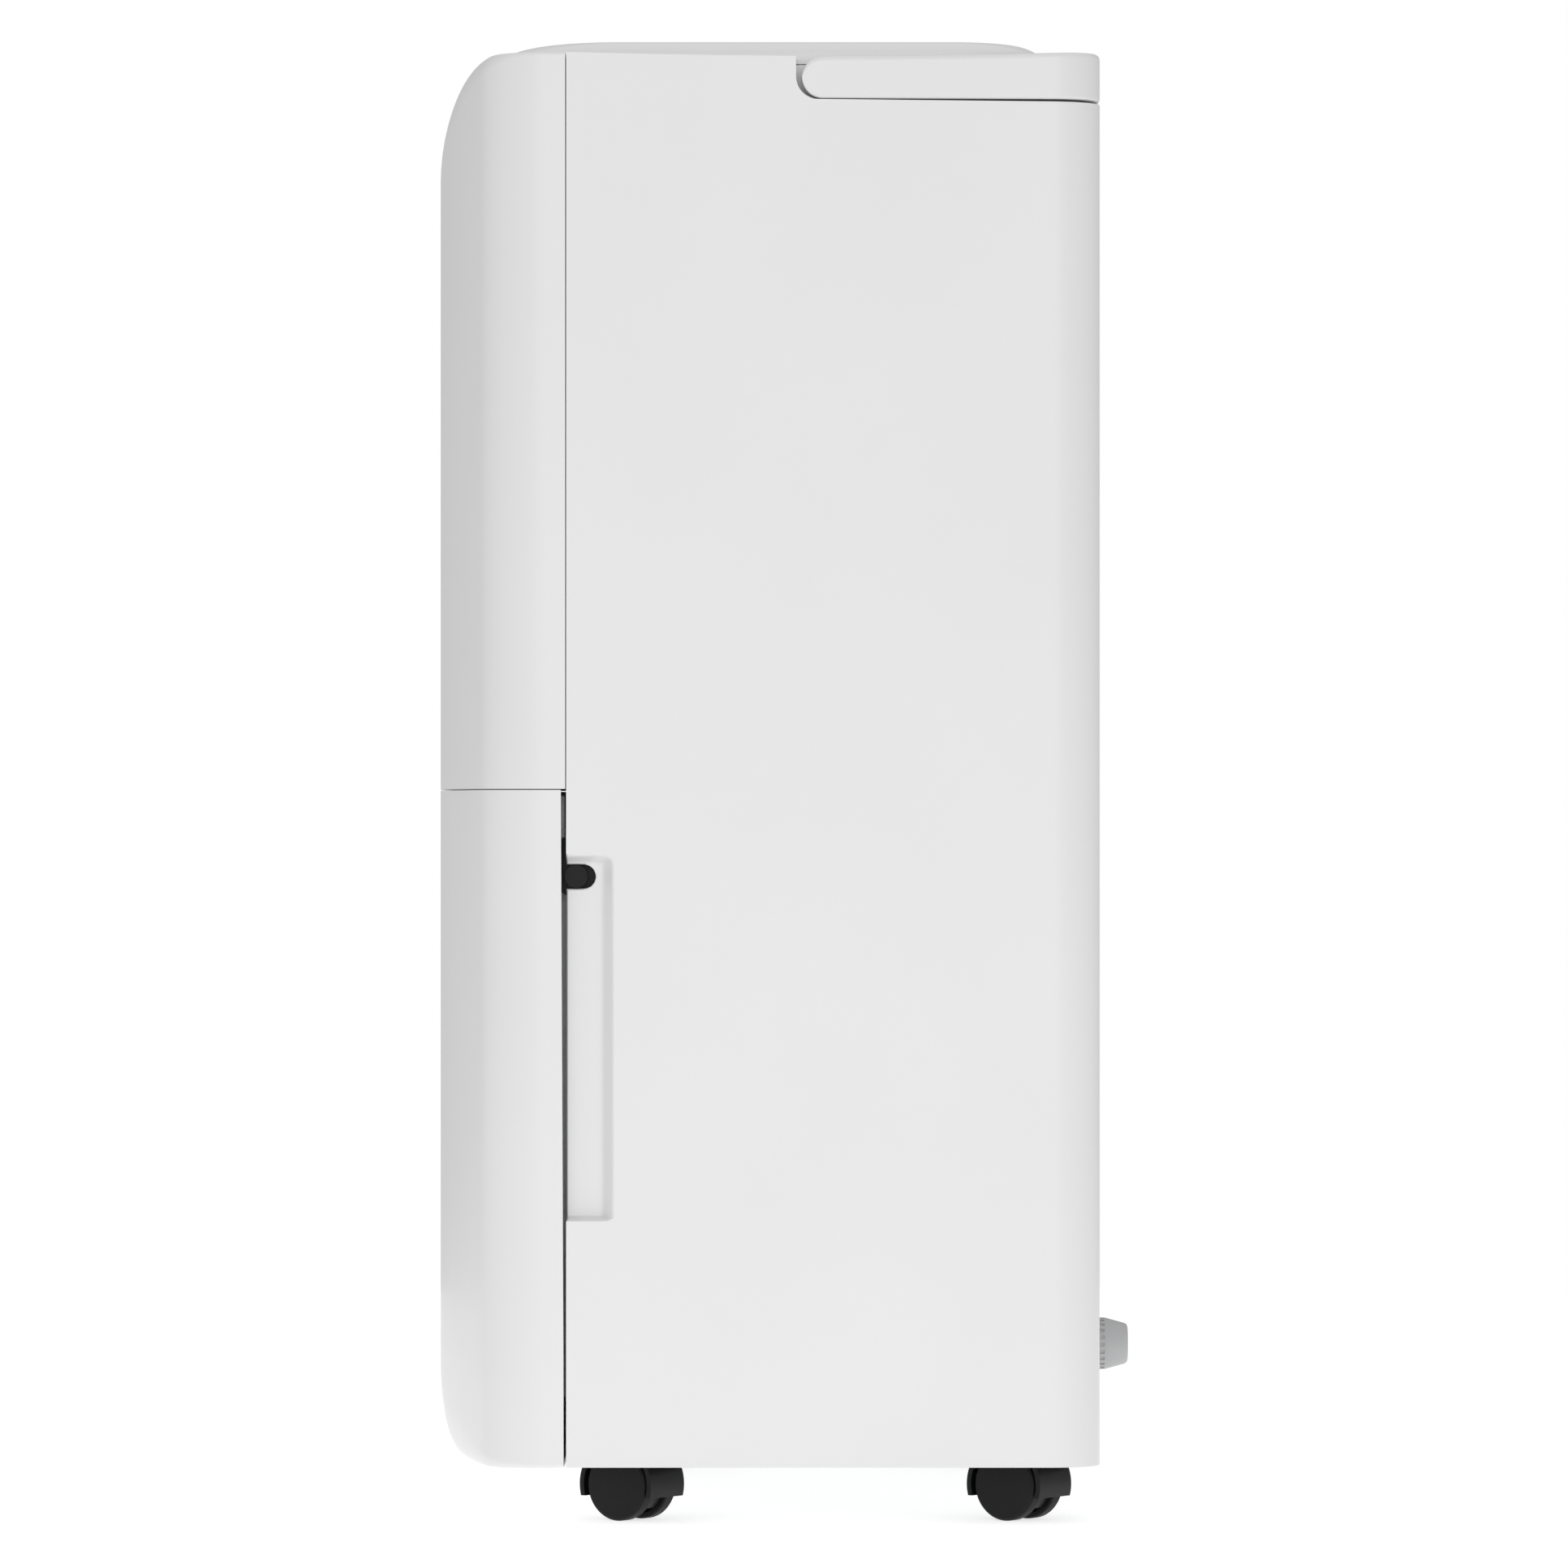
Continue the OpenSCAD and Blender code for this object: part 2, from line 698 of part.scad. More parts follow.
module bulkhead() {
    color("gainsboro") difference() {
        span([-half_w + wall + 8, bay_wall_y, base_z + 3.2],
             [half_w - wall - 8, bay_wall_y + 2.5, tray_low - 0.2]);
        rod_y(4, sensor_x, sensor_z, bay_wall_y - 1, bay_wall_y + 5);
        for (side = [-1, 1]) at_caster(side, 0) cylinder(r = well_r + 3, h = well_top + 4);
    }
}

// Reed sensor that feels the magnet in the bucket's float
module float_sensor() {
    color("darkslategray") {
        span([sensor_x - 14, bay_wall_y - 2.5, sensor_z - 8], [sensor_x + 14, bay_wall_y, sensor_z + 8]);
        rod_y(4, sensor_x, sensor_z, bay_wall_y - 1, bay_wall_y + 6);
    }
}

tray_y0 = y_seam + 8;
tray_y1 = y_back - wall - 7;
module drip_tray() {
    half = half_w - wall - 4;
    color("gainsboro") difference() {
        union() {
            difference() {
                span([-half, tray_y0, tray_low], [half, tray_y1, tray_low + 14]);
                span([-half + 2.5, tray_y0 + 2.5, tray_low + tray_floor],
                     [half - 2.5, tray_y1 - 2.5, tray_low + 15]);
            }
            translate([0, y_seam + 22, tray_low - 7]) cylinder(r = 9, h = 9);
            for (y = [cond_y + 11, evap_y + 11])
                translate([riser_x, y, tray_low + 1]) cylinder(r = pipe_r + 3, h = 13);
            for (side = [-1, 1])
                span([side * screw_x - 6, y_back - 18, tray_low + 0.5],
                     [side * screw_x + 6, y_back - 5.2, tray_low + 14]);
        }
        translate([0, y_seam + 22, tray_low - 13]) cylinder(r = 6, h = 20);
        for (y = [cond_y + 11, evap_y + 11])
            translate([riser_x, y, tray_low - 1]) cylinder(r = pipe_r + 0.6, h = 20);
        for (side = [-1, 1]) rod_y(1.8, side * screw_x, screw_z[1], y_back - 14, y_back);
    }
}

tube_pitch = 24;
tube_rows = floor(coil_h / tube_pitch);
pipe_r = 3.5;
riser_x = -coil_w / 2 - 24;

module fins(y0, depth) {
    difference() {
        union() {
            span([-coil_w / 2, y0, coil_low], [coil_w / 2, y0 + depth, coil_low + coil_h]);
            for (side = [-1, 1])
                span([side * coil_w / 2 - 0.6, y0 - 1, coil_low - 0.8],
                     [side * coil_w / 2 + 0.6, y0 + depth + 1, coil_low + coil_h + 0.8]);
        }
        for (i = [0:tube_rows - 1])
            pin_x(tube_r, coil_w + 10, 0, y0 + depth / 2, coil_low + tube_pitch * (i + 0.5));
    }
}

module evaporator_fins() {
    color("lightsteelblue") fins(evap_y, 22);
}

module condenser_fins() {
    color("lightsteelblue") fins(cond_y, 22);
}

// Tubes of both coils with the U-bends at their ends and the bend that joins the coils
module coil_tubes() {
    reach = coil_w / 2 + 6;
    color("peru") {
        for (y = [evap_y + 11, cond_y + 11]) {
            for (i = [0:tube_rows - 1])
                pin_x(tube_r, 2 * reach, 0, y, coil_low + tube_pitch * (i + 0.5));
            for (i = [0:tube_rows - 2])
                mirror([i % 2 == 0 ? 0 : 1, 0, 0])
                    translate([reach, y, coil_low + tube_pitch * (i + 1)])
                        rotate([90, 0, 0]) rotate([0, 0, -90]) rotate_extrude(angle = 180)
                            translate([tube_pitch / 2, 0]) circle(tube_r);
        }
        translate([-reach, (evap_y + cond_y) / 2 + 11, coil_low + tube_pitch * (tube_rows - 0.5)])
            rotate([0, 0, 90]) rotate_extrude(angle = 180)
                translate([(evap_y - cond_y) / 2, 0]) circle(tube_r);
    }
}

// The suction tank stands beside the can, right under the evaporator's pipe
tank_reach = comp_r + 25;
tank_turn = asin((evap_y + 11 - comp_y) / tank_reach);

module compressor() {
    color("dimgray") translate([comp_x, comp_y, comp_low]) {
        cylinder(r = comp_r, h = comp_h - 20);
        intersection() {
            translate([0, 0, comp_h - 20 - comp_r * 1.5]) sphere(r = comp_r * 1.82);
            cylinder(r = comp_r - 1, h = comp_h);
        }
        for (a = [90, 210, 330]) rotate([0, 0, a]) difference() {
            span([comp_r - 8, -12, 0], [comp_r + mount_out + 7.5, 12, 3]);
            translate([comp_r + mount_out, 0, -1]) cylinder(r = 4, h = 5);
        }
        rotate([0, 0, tank_turn]) translate([tank_reach, 0, 40]) {
            cylinder(r = 19, h = 92);
            translate([0, 0, 92]) cylinder(r1 = 19, r2 = 6, h = 12);
            translate([-28, -5, 40]) cube([18, 10, 12]);
        }
    }
}

module compressor_mounts() {
    color("black") at_mounts() {
        translate([0, 0, base_z + 10]) cylinder(r = 6.4, h = comp_low - base_z - 10);
        translate([0, 0, comp_low]) cylinder(r = 3.95, h = 3);
        translate([0, 0, comp_low + 3]) cylinder(r = 6, h = 4);
    }
}

// Pipe that rises at x, runs across at z1, rises through the tray and turns into a coil
module pipe_run(x, y, z0, z1) {
    z2 = coil_low + tube_pitch / 2;
    coil_x = -coil_w / 2 - 6;
    translate([x, y, z0]) cylinder(r = pipe_r, h = z1 - z0);
    pin_x(pipe_r, x - riser_x, (x + riser_x) / 2, y, z1);
    translate([riser_x, y, z1]) cylinder(r = pipe_r, h = z2 - z1);
    pin_x(pipe_r, coil_x - riser_x, (coil_x + riser_x) / 2, y, z2);
    for (corner = [[x, z1], [riser_x, z1], [riser_x, z2]])
        translate([corner[0], y, corner[1]]) sphere(r = pipe_r + 1);
}

module refrigerant_pipes() {
    color("peru") {
        pipe_run(comp_x, cond_y + 11, comp_low + comp_h - 8, tray_low - 45);
        pipe_run(comp_x + tank_reach * cos(tank_turn), evap_y + 11, comp_low + 40 + 104, tray_low - 25);
    }
}

// Spiral of the fan housing, moved outwards by grow
function spiral(grow) = [for (a = [0:10:350]) let (r = fan_r + 8 + 26 * a / 350 + grow)
    [r * cos(a + 90), r * sin(a + 90)]];

module fan_scroll() {
    duct_top = deck_z - 9;
    duct_low = fan_z + fan_r + 8;
    duct_left = -fan_r * 0.2;
    duct_right = fan_r + 8 + 26 * 270 / 350;
    front = scroll_y;
    back = scroll_y + scroll_d;
    t = 2.5;
    color("gainsboro") difference() {
        union() {
            translate([0, back, fan_z]) rotate([90, 0, 0]) linear_extrude(scroll_d) polygon(spiral(t));
            span([duct_left - t, front, duct_low], [40, back, duct_top]);
            span([35, front, fan_z], [duct_right + t, back, duct_top]);
            for (side = [-1, 1])
                span([side * 70 - 8, front + 12, tray_low + tray_floor],
                     [side * 70 + 8, back - 12, fan_z - fan_r + 8]);
        }
        translate([0, back - t, fan_z]) rotate([90, 0, 0])
            linear_extrude(scroll_d - 2 * t) polygon(spiral(0));
        span([duct_left, front + t, duct_low - 6], [40, back - t, duct_top + 1]);
        span([35, front + t, fan_z - 1], [duct_right, back - t, duct_top + 1]);
        rod_y(fan_r * 0.78, 0, fan_z, back - 5, back + 1);
        rod_y(30, 0, fan_z, front - 1, front + 5);
    }
}

module fan_wheel() {
    y0 = fan_y;
    y1 = fan_y + fan_w;
    color("whitesmoke") difference() {
        union() {
            rod_y(fan_r - 1, 0, fan_z, y0, y0 + 2.5);
            rod_y(12, 0, fan_z, y0 - 4, y0 + 20);
            difference() {
                rod_y(fan_r, 0, fan_z, y1 - 5, y1);
                rod_y(fan_r - 15, 0, fan_z, y1 - 6, y1 + 1);
            }
            for (i = [0:fan_blades - 1]) translate([0, y0 + 1, fan_z]) rotate([0, i * 360 / fan_blades, 0])
                translate([fan_r - 8, 0, 0]) rotate([0, 35, 0])
                    translate([-7, 0, -0.7]) cube([14, fan_w - 2, 1.4]);
        }
        rod_y(4 + fit, 0, fan_z, y0 - 5, y0 + 21);
    }
}

module fan_motor() {
    color("slategray") {
        rod_y(28, 0, fan_z, scroll_y - 48, scroll_y - 2);
        rod_y(4, 0, fan_z, scroll_y - 2, fan_y + 22);
        difference() {
            rod_y(38, 0, fan_z, scroll_y - 3, scroll_y - 0.1);
            rod_y(27, 0, fan_z, scroll_y - 4, scroll_y + 1);
        }
    }
}

module run_capacitor() {
    color("lightgray") translate([100, bay_wall_y + 34, base_z + 3]) {
        cylinder(r = 20, h = 72);
        translate([0, 0, 72]) cylinder(r = 12, h = 6);
    }
}

// ---------- filter ----------

module filter_frame() {
    gap = 0.5;
    border = 12;
    half = intake_w / 2 - gap;
    y0 = y_back - filter_t;
    top = intake_low + intake_h - gap;
    pitch = (top - hinge_z - 2 * border) / (filter_louvres + 1);
    color("whitesmoke") {
        difference() {
            union() {
                span([-half, y0, hinge_z], [half, y_back, top]);
                pin_x(filter_t / 2, 2 * half, 0, hinge_y, hinge_z);
            }
            span([-half + border, y0 - 1, hinge_z + border], [half - border, y_back + 1, top - border]);
            span([-12, y_back - 1.5, top - 9], [12, y_back + 1, top - 3]);
        }
        for (side = [-1, 1])
            pin_x(hinge_pin_r, 5, side * (half + 0.5), hinge_y, hinge_z);
        for (i = [1:filter_louvres])
            translate([-half + border - 0.5, y0 + 1, hinge_z + border + i * pitch])
                rotate([25, 0, 0]) cube([2 * (half - border) + 1, filter_t - 2, 1.6]);
        for (x = [-1, 0, 1])
            translate([x * half / 2 - 1, y0, hinge_z + border - 0.5])
                cube([2, 1.8, top - hinge_z - 2 * border + 1]);
    }
}

module filter_mesh() {
    border = 7;
    half = intake_w / 2 - 0.5 - border;
    color("gray") span([-half, y_back - filter_t - 1.2, hinge_z + border],
                       [half, y_back - filter_t - 0.1, intake_low + intake_h - border]);
}

// ---------- drain and cord ----------

module drain_spout() {
    color("lightgray") difference() {
        union() {
            rod_y(spout_r, spout_x, spout_z, y_back - 4, y_back + cap_out - 3);
            rod_y(13, spout_x, spout_z, y_back - wall - 2.5, y_back - wall - 0.05);
            rod_y(6.5, spout_x, spout_z, y_back - 26, y_back - 4);
        }
        rod_y(4.5, spout_x, spout_z, y_back - 27, y_back + cap_out);
    }
}

module drain_cap_washer() {
    y0 = y_back + cap_out - 3;
    color("black") difference() {
        rod_y(spout_r, spout_x, spout_z, y0, y0 + 1.2);
        rod_y(3.5, spout_x, spout_z, y0 - 1, y0 + 2);
    }
}

module drain_cap() {
    y0 = y_back + 0.2;
    y1 = y_back + cap_out;
    rib_end = y_back + 4.4;
    tip_r = cap_r - 2.2;
    groove_w = 2 * PI * cap_r / cap_ribs / 2;
    color("silver") difference() {
        translate([spout_x, 0, spout_z]) rotate([-90, 0, 0]) rotate_extrude()
            polygon([[0, y0], [cap_r, y0], [cap_r, rib_end], [tip_r, y1 - 1.6],
                     [tip_r - 0.5, y1 - 0.5], [tip_r - 1.6, y1], [0, y1]]);
        for (i = [0:cap_ribs - 1])
            translate([spout_x, y0 - 1, spout_z]) rotate([0, i * 360 / cap_ribs, 0])
                translate([cap_r - 0.5, 0, -groove_w / 2]) cube([2, rib_end - y0 + 0.6, groove_w]);
        rod_y(spout_r + 0.25, spout_x, spout_z, y0 - 1, y1 - 1.8);
    }
}

module cord_bushing() {
    color("dimgray") difference() {
        union() {
            rod_y(6.4, -130, 90, y_back - 7, y_back + 0.5);
            rod_y(9, -130, 90, y_back + 0.1, y_back + 2.6);
            rod_y(8, -130, 90, y_back - 6, y_back - wall - 0.1);
        }
        rod_y(3.6, -130, 90, y_back - 8, y_back + 4);
    }
}

// ---------- water bucket ----------

// Wedge of depth in front of the slightly leaning gap behind the bucket front
module before_gap() {
    along_x(body_w + 20) polygon([[y_crown - 5, base_z - 5], [y_seam - bucket_gap_low, base_z - 5],
                                  [y_seam - bucket_gap_top, bucket_top],
                                  [y_crown - 5, bucket_top]]);
}

window_z = 90;
module window_cut(gap) {
    span([-window_w / 2 + gap, y_crown - 2, window_z + gap],
         [window_w / 2 - gap, y_crown + wall + 4, window_z + window_h - gap]);
}

module bucket_front() {
    color(white) difference() {
        intersection() {
            union() {
                difference() {
                    body_solid(0);
                    body_solid(wall);
                }
                for (z = [70, 160, 260]) intersection() {
                    plan_ring(wall / 2, tub_inset - 0.05, z, z + 3);
                    span([-half_w, y_crown, z], [half_w, corner_y, z + 3]);
                }
            }
            before_gap();
        }
        window_cut(0);
    }
}

module level_window() {
    color("lightblue") intersection() {
        plan_ring(0.3, wall + 1.2, 0, top_z);
        window_cut(0.1);
    }
}

module bucket_tub() {
    module outline(inset) {
        intersection() {
            plan(tub_inset + inset);
            translate([-tub_half_w + inset, y_crown])
                square([2 * (tub_half_w - inset), tub_back - inset - y_crown]);
        }
    }
    color("whitesmoke") difference() {
        union() {
            difference() {
                translate([0, 0, tub_low]) linear_extrude(tub_high - tub_low) outline(0);
                translate([0, 0, tub_low + tub_wall]) linear_extrude(tub_high) outline(tub_wall);
            }
            for (side = [-1, 1])
                pin_x(bail_pin_r + 4, 6, side * (tub_half_w - tub_wall - 2.9), bail_y, bail_z);
            for (x = float_x) {
                pin_x(5, 4, x, float_y, float_z);
                span([x - 2, float_y, float_z - 5], [x + 2, tub_back - 1, float_z + 5]);
            }
        }
        for (side = [-1, 1]) pin_x(bail_pin_r, 40, side * tub_half_w, bail_y, bail_z);
        pin_x(2, float_x[1] - float_x[0] + 6, (float_x[0] + float_x[1]) / 2, float_y, float_z);
    }
}

module bucket_lid() {
    t = 2.5;
    color("whitesmoke") difference() {
        translate([0, 0, tub_high + 0.05]) linear_extrude(t) intersection() {
            plan(tub_inset);
            translate([-tub_half_w, y_crown]) square([2 * tub_half_w, tub_back - y_crown]);
        }
        span([-45, y_seam + 4, tub_high - 1], [45, y_seam + 40, tub_high + 5]);
        translate([float_x[0] + 20, y_seam - 22, tub_high - 1]) cylinder(r = 16, h = 8);
    }
}

module bucket_float() {
    mid = (float_x[0] + float_x[1]) / 2;
    color("ivory") difference() {
        union() {
            pin_x(5, float_x[1] - float_x[0] - 5, mid, float_y, float_z);
            span([mid - 9, float_y - 30, float_z - 4], [mid + 9, float_y, float_z + 4]);
            span([mid - 28, float_y - 62, float_z - 20], [mid + 28, float_y - 22, float_z + 4]);
        }
        pin_x(2 + fit, 60, mid, float_y, float_z);
    }
}

module float_pin() {
    color("silver") pin_x(2, float_x[1] - float_x[0] + 5, (float_x[0] + float_x[1]) / 2, float_y, float_z);
}

module bucket_bail() {
    arm_in = tub_half_w + 1;
    arm_t = 5;
    hub_r = 9;
    hub_rise = 7;
    grip_r = 6;
    grip_y = bail_y + bail_reach * cos(bail_rest);
    grip_z = bail_z + bail_reach * sin(bail_rest);
    color(black) difference() {
        union() {
            for (side = [-1, 1]) {
                x = side * (arm_in + arm_t / 2);
                pin_x(hub_r, arm_t, x, bail_y - 0.7, bail_z + 0.6);
                pin_x(hub_r, arm_t, x, bail_y - 0.7, bail_z + 0.6 + hub_rise);
                span([x - arm_t / 2, bail_y - 0.7 - hub_r, bail_z + 0.6],
                     [x + arm_t / 2, bail_y - 0.7 + hub_r, bail_z + 0.6 + hub_rise]);
                translate([x, bail_y, bail_z]) rotate([bail_rest, 0, 0])
                    translate([-arm_t / 2, 0, -grip_r]) cube([arm_t, bail_reach, 2 * grip_r]);
                pin_x(grip_r, arm_t, x, grip_y, grip_z);
                pin_x(bail_boss_r, 7, side * (arm_in + arm_t + 0.8), bail_y, bail_z);
            }
            pin_x(grip_r, 2 * arm_in + 2, 0, grip_y, grip_z);
        }
        for (side = [-1, 1])
            pin_x(bail_pin_r + fit, 16.6, side * arm_in, bail_y, bail_z);
    }
}

module bail_pins() {
    color("silver") for (side = [-1, 1])
        pin_x(bail_pin_r, 14, side * (tub_half_w + 2), bail_y, bail_z);
}

// ---------- casters ----------

hood_r = wheel_r + hood_gap + hood_wall;
hood_half = web_t / 2 + wheel_w + 0.2;
axle_half = web_t / 2 + wheel_w - 2;

// Puts a caster's parts, drawn with the axle along X, under its swivel axis
module caster(side, row) {
    at_caster(side, row) rotate([0, 0, caster_turn]) translate([0, -trail, 0]) children();
}

module caster_hood(side, row) {
    skirt_z = wheel_r - 5;
    color(black) caster(side, row) difference() {
        union() {
            difference() {
                pin_x(hood_r, 2 * hood_half, 0, 0, wheel_r);
                for (s = [-1, 1])
                    pin_x(wheel_r + hood_gap, wheel_w + 1, s * (web_t / 2 + wheel_w / 2 + 0.5), 0, wheel_r);
                span([-hood_half - 1, -hood_r - 1, -5], [hood_half + 1, hood_r + 1, skirt_z]);
            }
            intersection() {
                pin_x(wheel_r - 2, web_t, 0, 0, wheel_r);
                span([-web_t / 2, -wheel_r, 5], [web_t / 2, wheel_r, 2 * wheel_r]);
            }
        }
        pin_x(2, 2 * hood_half + 2, 0, 0, wheel_r);
        translate([0, trail, wheel_r + 4.5]) cylinder(r = stem_r, h = 40);
    }
}

module caster_pins(side, row) {
    color("silver") caster(side, row) {
        pin_x(2, 2 * axle_half, 0, 0, wheel_r);
        translate([0, trail, wheel_r + 4.5]) cylinder(r = stem_r, h = stem_top - wheel_r - 4.5);
    }
}

// One wheel; hand is 1 for the wheel on the axle's +X end
module caster_wheel(side, row, hand) {
    inner = web_t / 2 + 0.3;
    outer = web_t / 2 + wheel_w;
    color(black) caster(side, row) translate([0, 0, wheel_r]) rotate([0, hand * 90, 0]) difference() {
        rotate_extrude() polygon([[0, inner], [wheel_r - 0.6, inner], [wheel_r, inner + 0.6],
                                  [wheel_r, outer - 1.6], [wheel_r - 0.5, outer - 0.6],
                                  [wheel_r - 1.5, outer - 0.1], [0, outer + 0.15]]);
        translate([0, 0, inner - 1]) cylinder(r = 2 + fit, h = axle_half - inner + 1.3);
        translate([0, 0, inner - 1]) difference() {
            cylinder(r = wheel_r - 2.4, h = wheel_w - 2);
            cylinder(r = 4.4, h = wheel_w);
        }
    }
}

// ---------- nodes ----------

base_pan();
cabinet();
front_panel();
top_cover();
outlet_grille();
control_panel();
display_window();
carry_handle();
handle_pins();
bulkhead();
drip_tray();
evaporator_fins();
condenser_fins();
coil_tubes();
refrigerant_pipes();
compressor();
compressor_mounts();
fan_scroll();
fan_wheel();
fan_motor();
control_board();
run_capacitor();
float_sensor();
drain_spout();
drain_cap_washer();
drain_cap();
cord_bushing();
rear_screws();
filter_frame();
filter_mesh();
bucket_front();
bucket_tub();
bucket_lid();
level_window();
bucket_float();
float_pin();
bucket_bail();
bail_pins();
for (i = [0:5])
    push_button(i);
for (row = [0, 1]) for (side = [-1, 1]) {
    stem_name = str("caster_", row == 0 ? "f" : "r", side < 0 ? "l" : "r");
    caster_hood(side, row);
    caster_pins(side, row);
    caster_wheel(side, row, -side);
    caster_wheel(side, row, side);
}
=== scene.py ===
"""Looks of a portable dehumidifier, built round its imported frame.

All sizes are in metres in the frame's own axes: the front faces -Y, +Z is up and the origin lies on the
floor. Mouldings that need soft, continuous surfaces are modelled here; the others keep their frame mesh
and get broken edges and a finish.
"""

import logging
import math
from collections.abc import Iterable, Sequence
from dataclasses import dataclass, field
from enum import Enum

import bmesh
import bpy
from mathutils import Matrix, Vector


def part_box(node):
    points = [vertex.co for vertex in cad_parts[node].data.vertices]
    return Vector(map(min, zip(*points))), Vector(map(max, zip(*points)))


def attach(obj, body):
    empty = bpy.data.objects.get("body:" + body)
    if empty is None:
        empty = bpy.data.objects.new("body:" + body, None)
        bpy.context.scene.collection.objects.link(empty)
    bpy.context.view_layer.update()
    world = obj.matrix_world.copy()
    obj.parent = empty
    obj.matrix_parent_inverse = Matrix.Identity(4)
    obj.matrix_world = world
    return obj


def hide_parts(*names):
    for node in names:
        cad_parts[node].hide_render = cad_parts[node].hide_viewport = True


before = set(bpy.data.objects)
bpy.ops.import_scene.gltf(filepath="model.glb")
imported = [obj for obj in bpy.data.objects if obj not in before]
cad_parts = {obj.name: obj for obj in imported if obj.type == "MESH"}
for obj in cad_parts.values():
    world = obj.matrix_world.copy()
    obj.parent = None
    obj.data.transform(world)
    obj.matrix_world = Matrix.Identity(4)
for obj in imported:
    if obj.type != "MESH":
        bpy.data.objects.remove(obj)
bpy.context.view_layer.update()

MM = 0.001
SIDES = (-1, 1)
SAME_PLACE = 2e-6  # points closer than this are one point in the frame's meshes
ON_PLANE = 1e-6  # points closer than this to a cutting plane lie on it

log = logging.getLogger("dehumidifier")


# ---------------------------------------------------------------- finishes


class Tree:
    """One material and the nodes that feed its shader."""

    def __init__(self, name: str) -> None:
        """Starts an empty material with a principled shader.

        Args:
            name: The material's name.
        """
        self.material = bpy.data.materials.new(name)
        self.material.use_nodes = True
        self.nodes = self.material.node_tree.nodes
        self.links = self.material.node_tree.links
        self.shader = self.nodes["Principled BSDF"]
        self.place = self.nodes.new("ShaderNodeTexCoord").outputs["Object"]

    def constants(self, **values: float | tuple) -> None:
        """Sets the shader's own sockets, with underscores for spaces in their names."""
        for name, value in values.items():
            self.shader.inputs[name.replace("_", " ")].default_value = value

    def feed(self, output: bpy.types.NodeSocket, socket: str) -> None:
        """Joins an output to one of the shader's sockets."""
        self.links.new(output, self.shader.inputs[socket])

    def stretched(self, scale: tuple[float, float, float]) -> bpy.types.NodeSocket:
        """Object coordinates multiplied by a scale for each axis."""
        mapping = self.nodes.new("ShaderNodeMapping")
        mapping.inputs["Scale"].default_value = scale
        self.links.new(self.place, mapping.inputs["Vector"])
        return mapping.outputs["Vector"]

    def noise(self, size: float, detail: float = 3.0, stretch: tuple = (1, 1, 1)) -> bpy.types.NodeSocket:
        """Soft noise.

        Args:
            size: Length of one blotch in metres.
            detail: Octaves of finer noise.
            stretch: Scale for each axis.

        Returns:
            The noise's value, from 0 to 1.
        """
        node = self.nodes.new("ShaderNodeTexNoise")
        node.inputs["Scale"].default_value = 1 / size
        node.inputs["Detail"].default_value = detail
        self.links.new(self.stretched(stretch), node.inputs["Vector"])
        return node.outputs["Fac"]

    def grains(self, size: float) -> bpy.types.NodeSocket:
        """Distance to the nearest of the scattered cell centres, a cell being one size wide."""
        node = self.nodes.new("ShaderNodeTexVoronoi")
        node.inputs["Scale"].default_value = 1 / size
        self.links.new(self.place, node.inputs["Vector"])
        return node.outputs["Distance"]

    def ribs(self, pitch: float, axis: str) -> bpy.types.NodeSocket:
        """Even ribs across an axis.

        Args:
            pitch: Distance between ribs in metres.
            axis: X, Y or Z.

        Returns:
            The ribs' height, from 0 to 1.
        """
        node = self.nodes.new("ShaderNodeTexWave")
        node.bands_direction = axis
        node.inputs["Scale"].default_value = math.pi / (10 * pitch)
        self.links.new(self.place, node.inputs["Vector"])
        return node.outputs["Fac"]

    def blend(
        self, amount: bpy.types.NodeSocket, stops: Sequence[tuple[float, tuple[float, float, float]]]
    ) -> bpy.types.NodeSocket:
        """Colours along a value.

        Args:
            amount: The value that picks the colour.
            stops: Pairs of value and colour.

        Returns:
            The colour.
        """
        ramp = self.nodes.new("ShaderNodeValToRGB")
        points = ramp.color_ramp.elements
        while len(points) < len(stops):
            points.new(0.5)
        for point, (where, colour) in zip(points, stops):
            point.position = where
            point.color = (*colour, 1)
        self.links.new(amount, ramp.inputs["Fac"])
        return ramp.outputs["Color"]

    def span(self, amount: bpy.types.NodeSocket, low: float, high: float) -> bpy.types.NodeSocket:
        """Maps a value from 0..1 to low..high."""
        node = self.nodes.new("ShaderNodeMapRange")
        node.inputs["To Min"].default_value = low
        node.inputs["To Max"].default_value = high
        self.links.new(amount, node.inputs["Value"])
        return node.outputs["Result"]

    def emboss(self, layers: Iterable[tuple[bpy.types.NodeSocket, float]]) -> None:
        """Stacks bumps on the shader's normal.

        Args:
            layers: Pairs of height and depth in metres.
        """
        normal = None
        for height, depth in layers:
            bump = self.nodes.new("ShaderNodeBump")
            bump.inputs["Distance"].default_value = depth
            self.links.new(height, bump.inputs["Height"])
            if normal is not None:
                self.links.new(normal, bump.inputs["Normal"])
            normal = bump.outputs["Normal"]
        if normal is not None:
            self.feed(normal, "Normal")


def shade(colour: tuple, factor: float) -> tuple:
    """A colour made lighter or darker by a factor."""
    return tuple(min(1.0, channel * factor) for channel in colour)


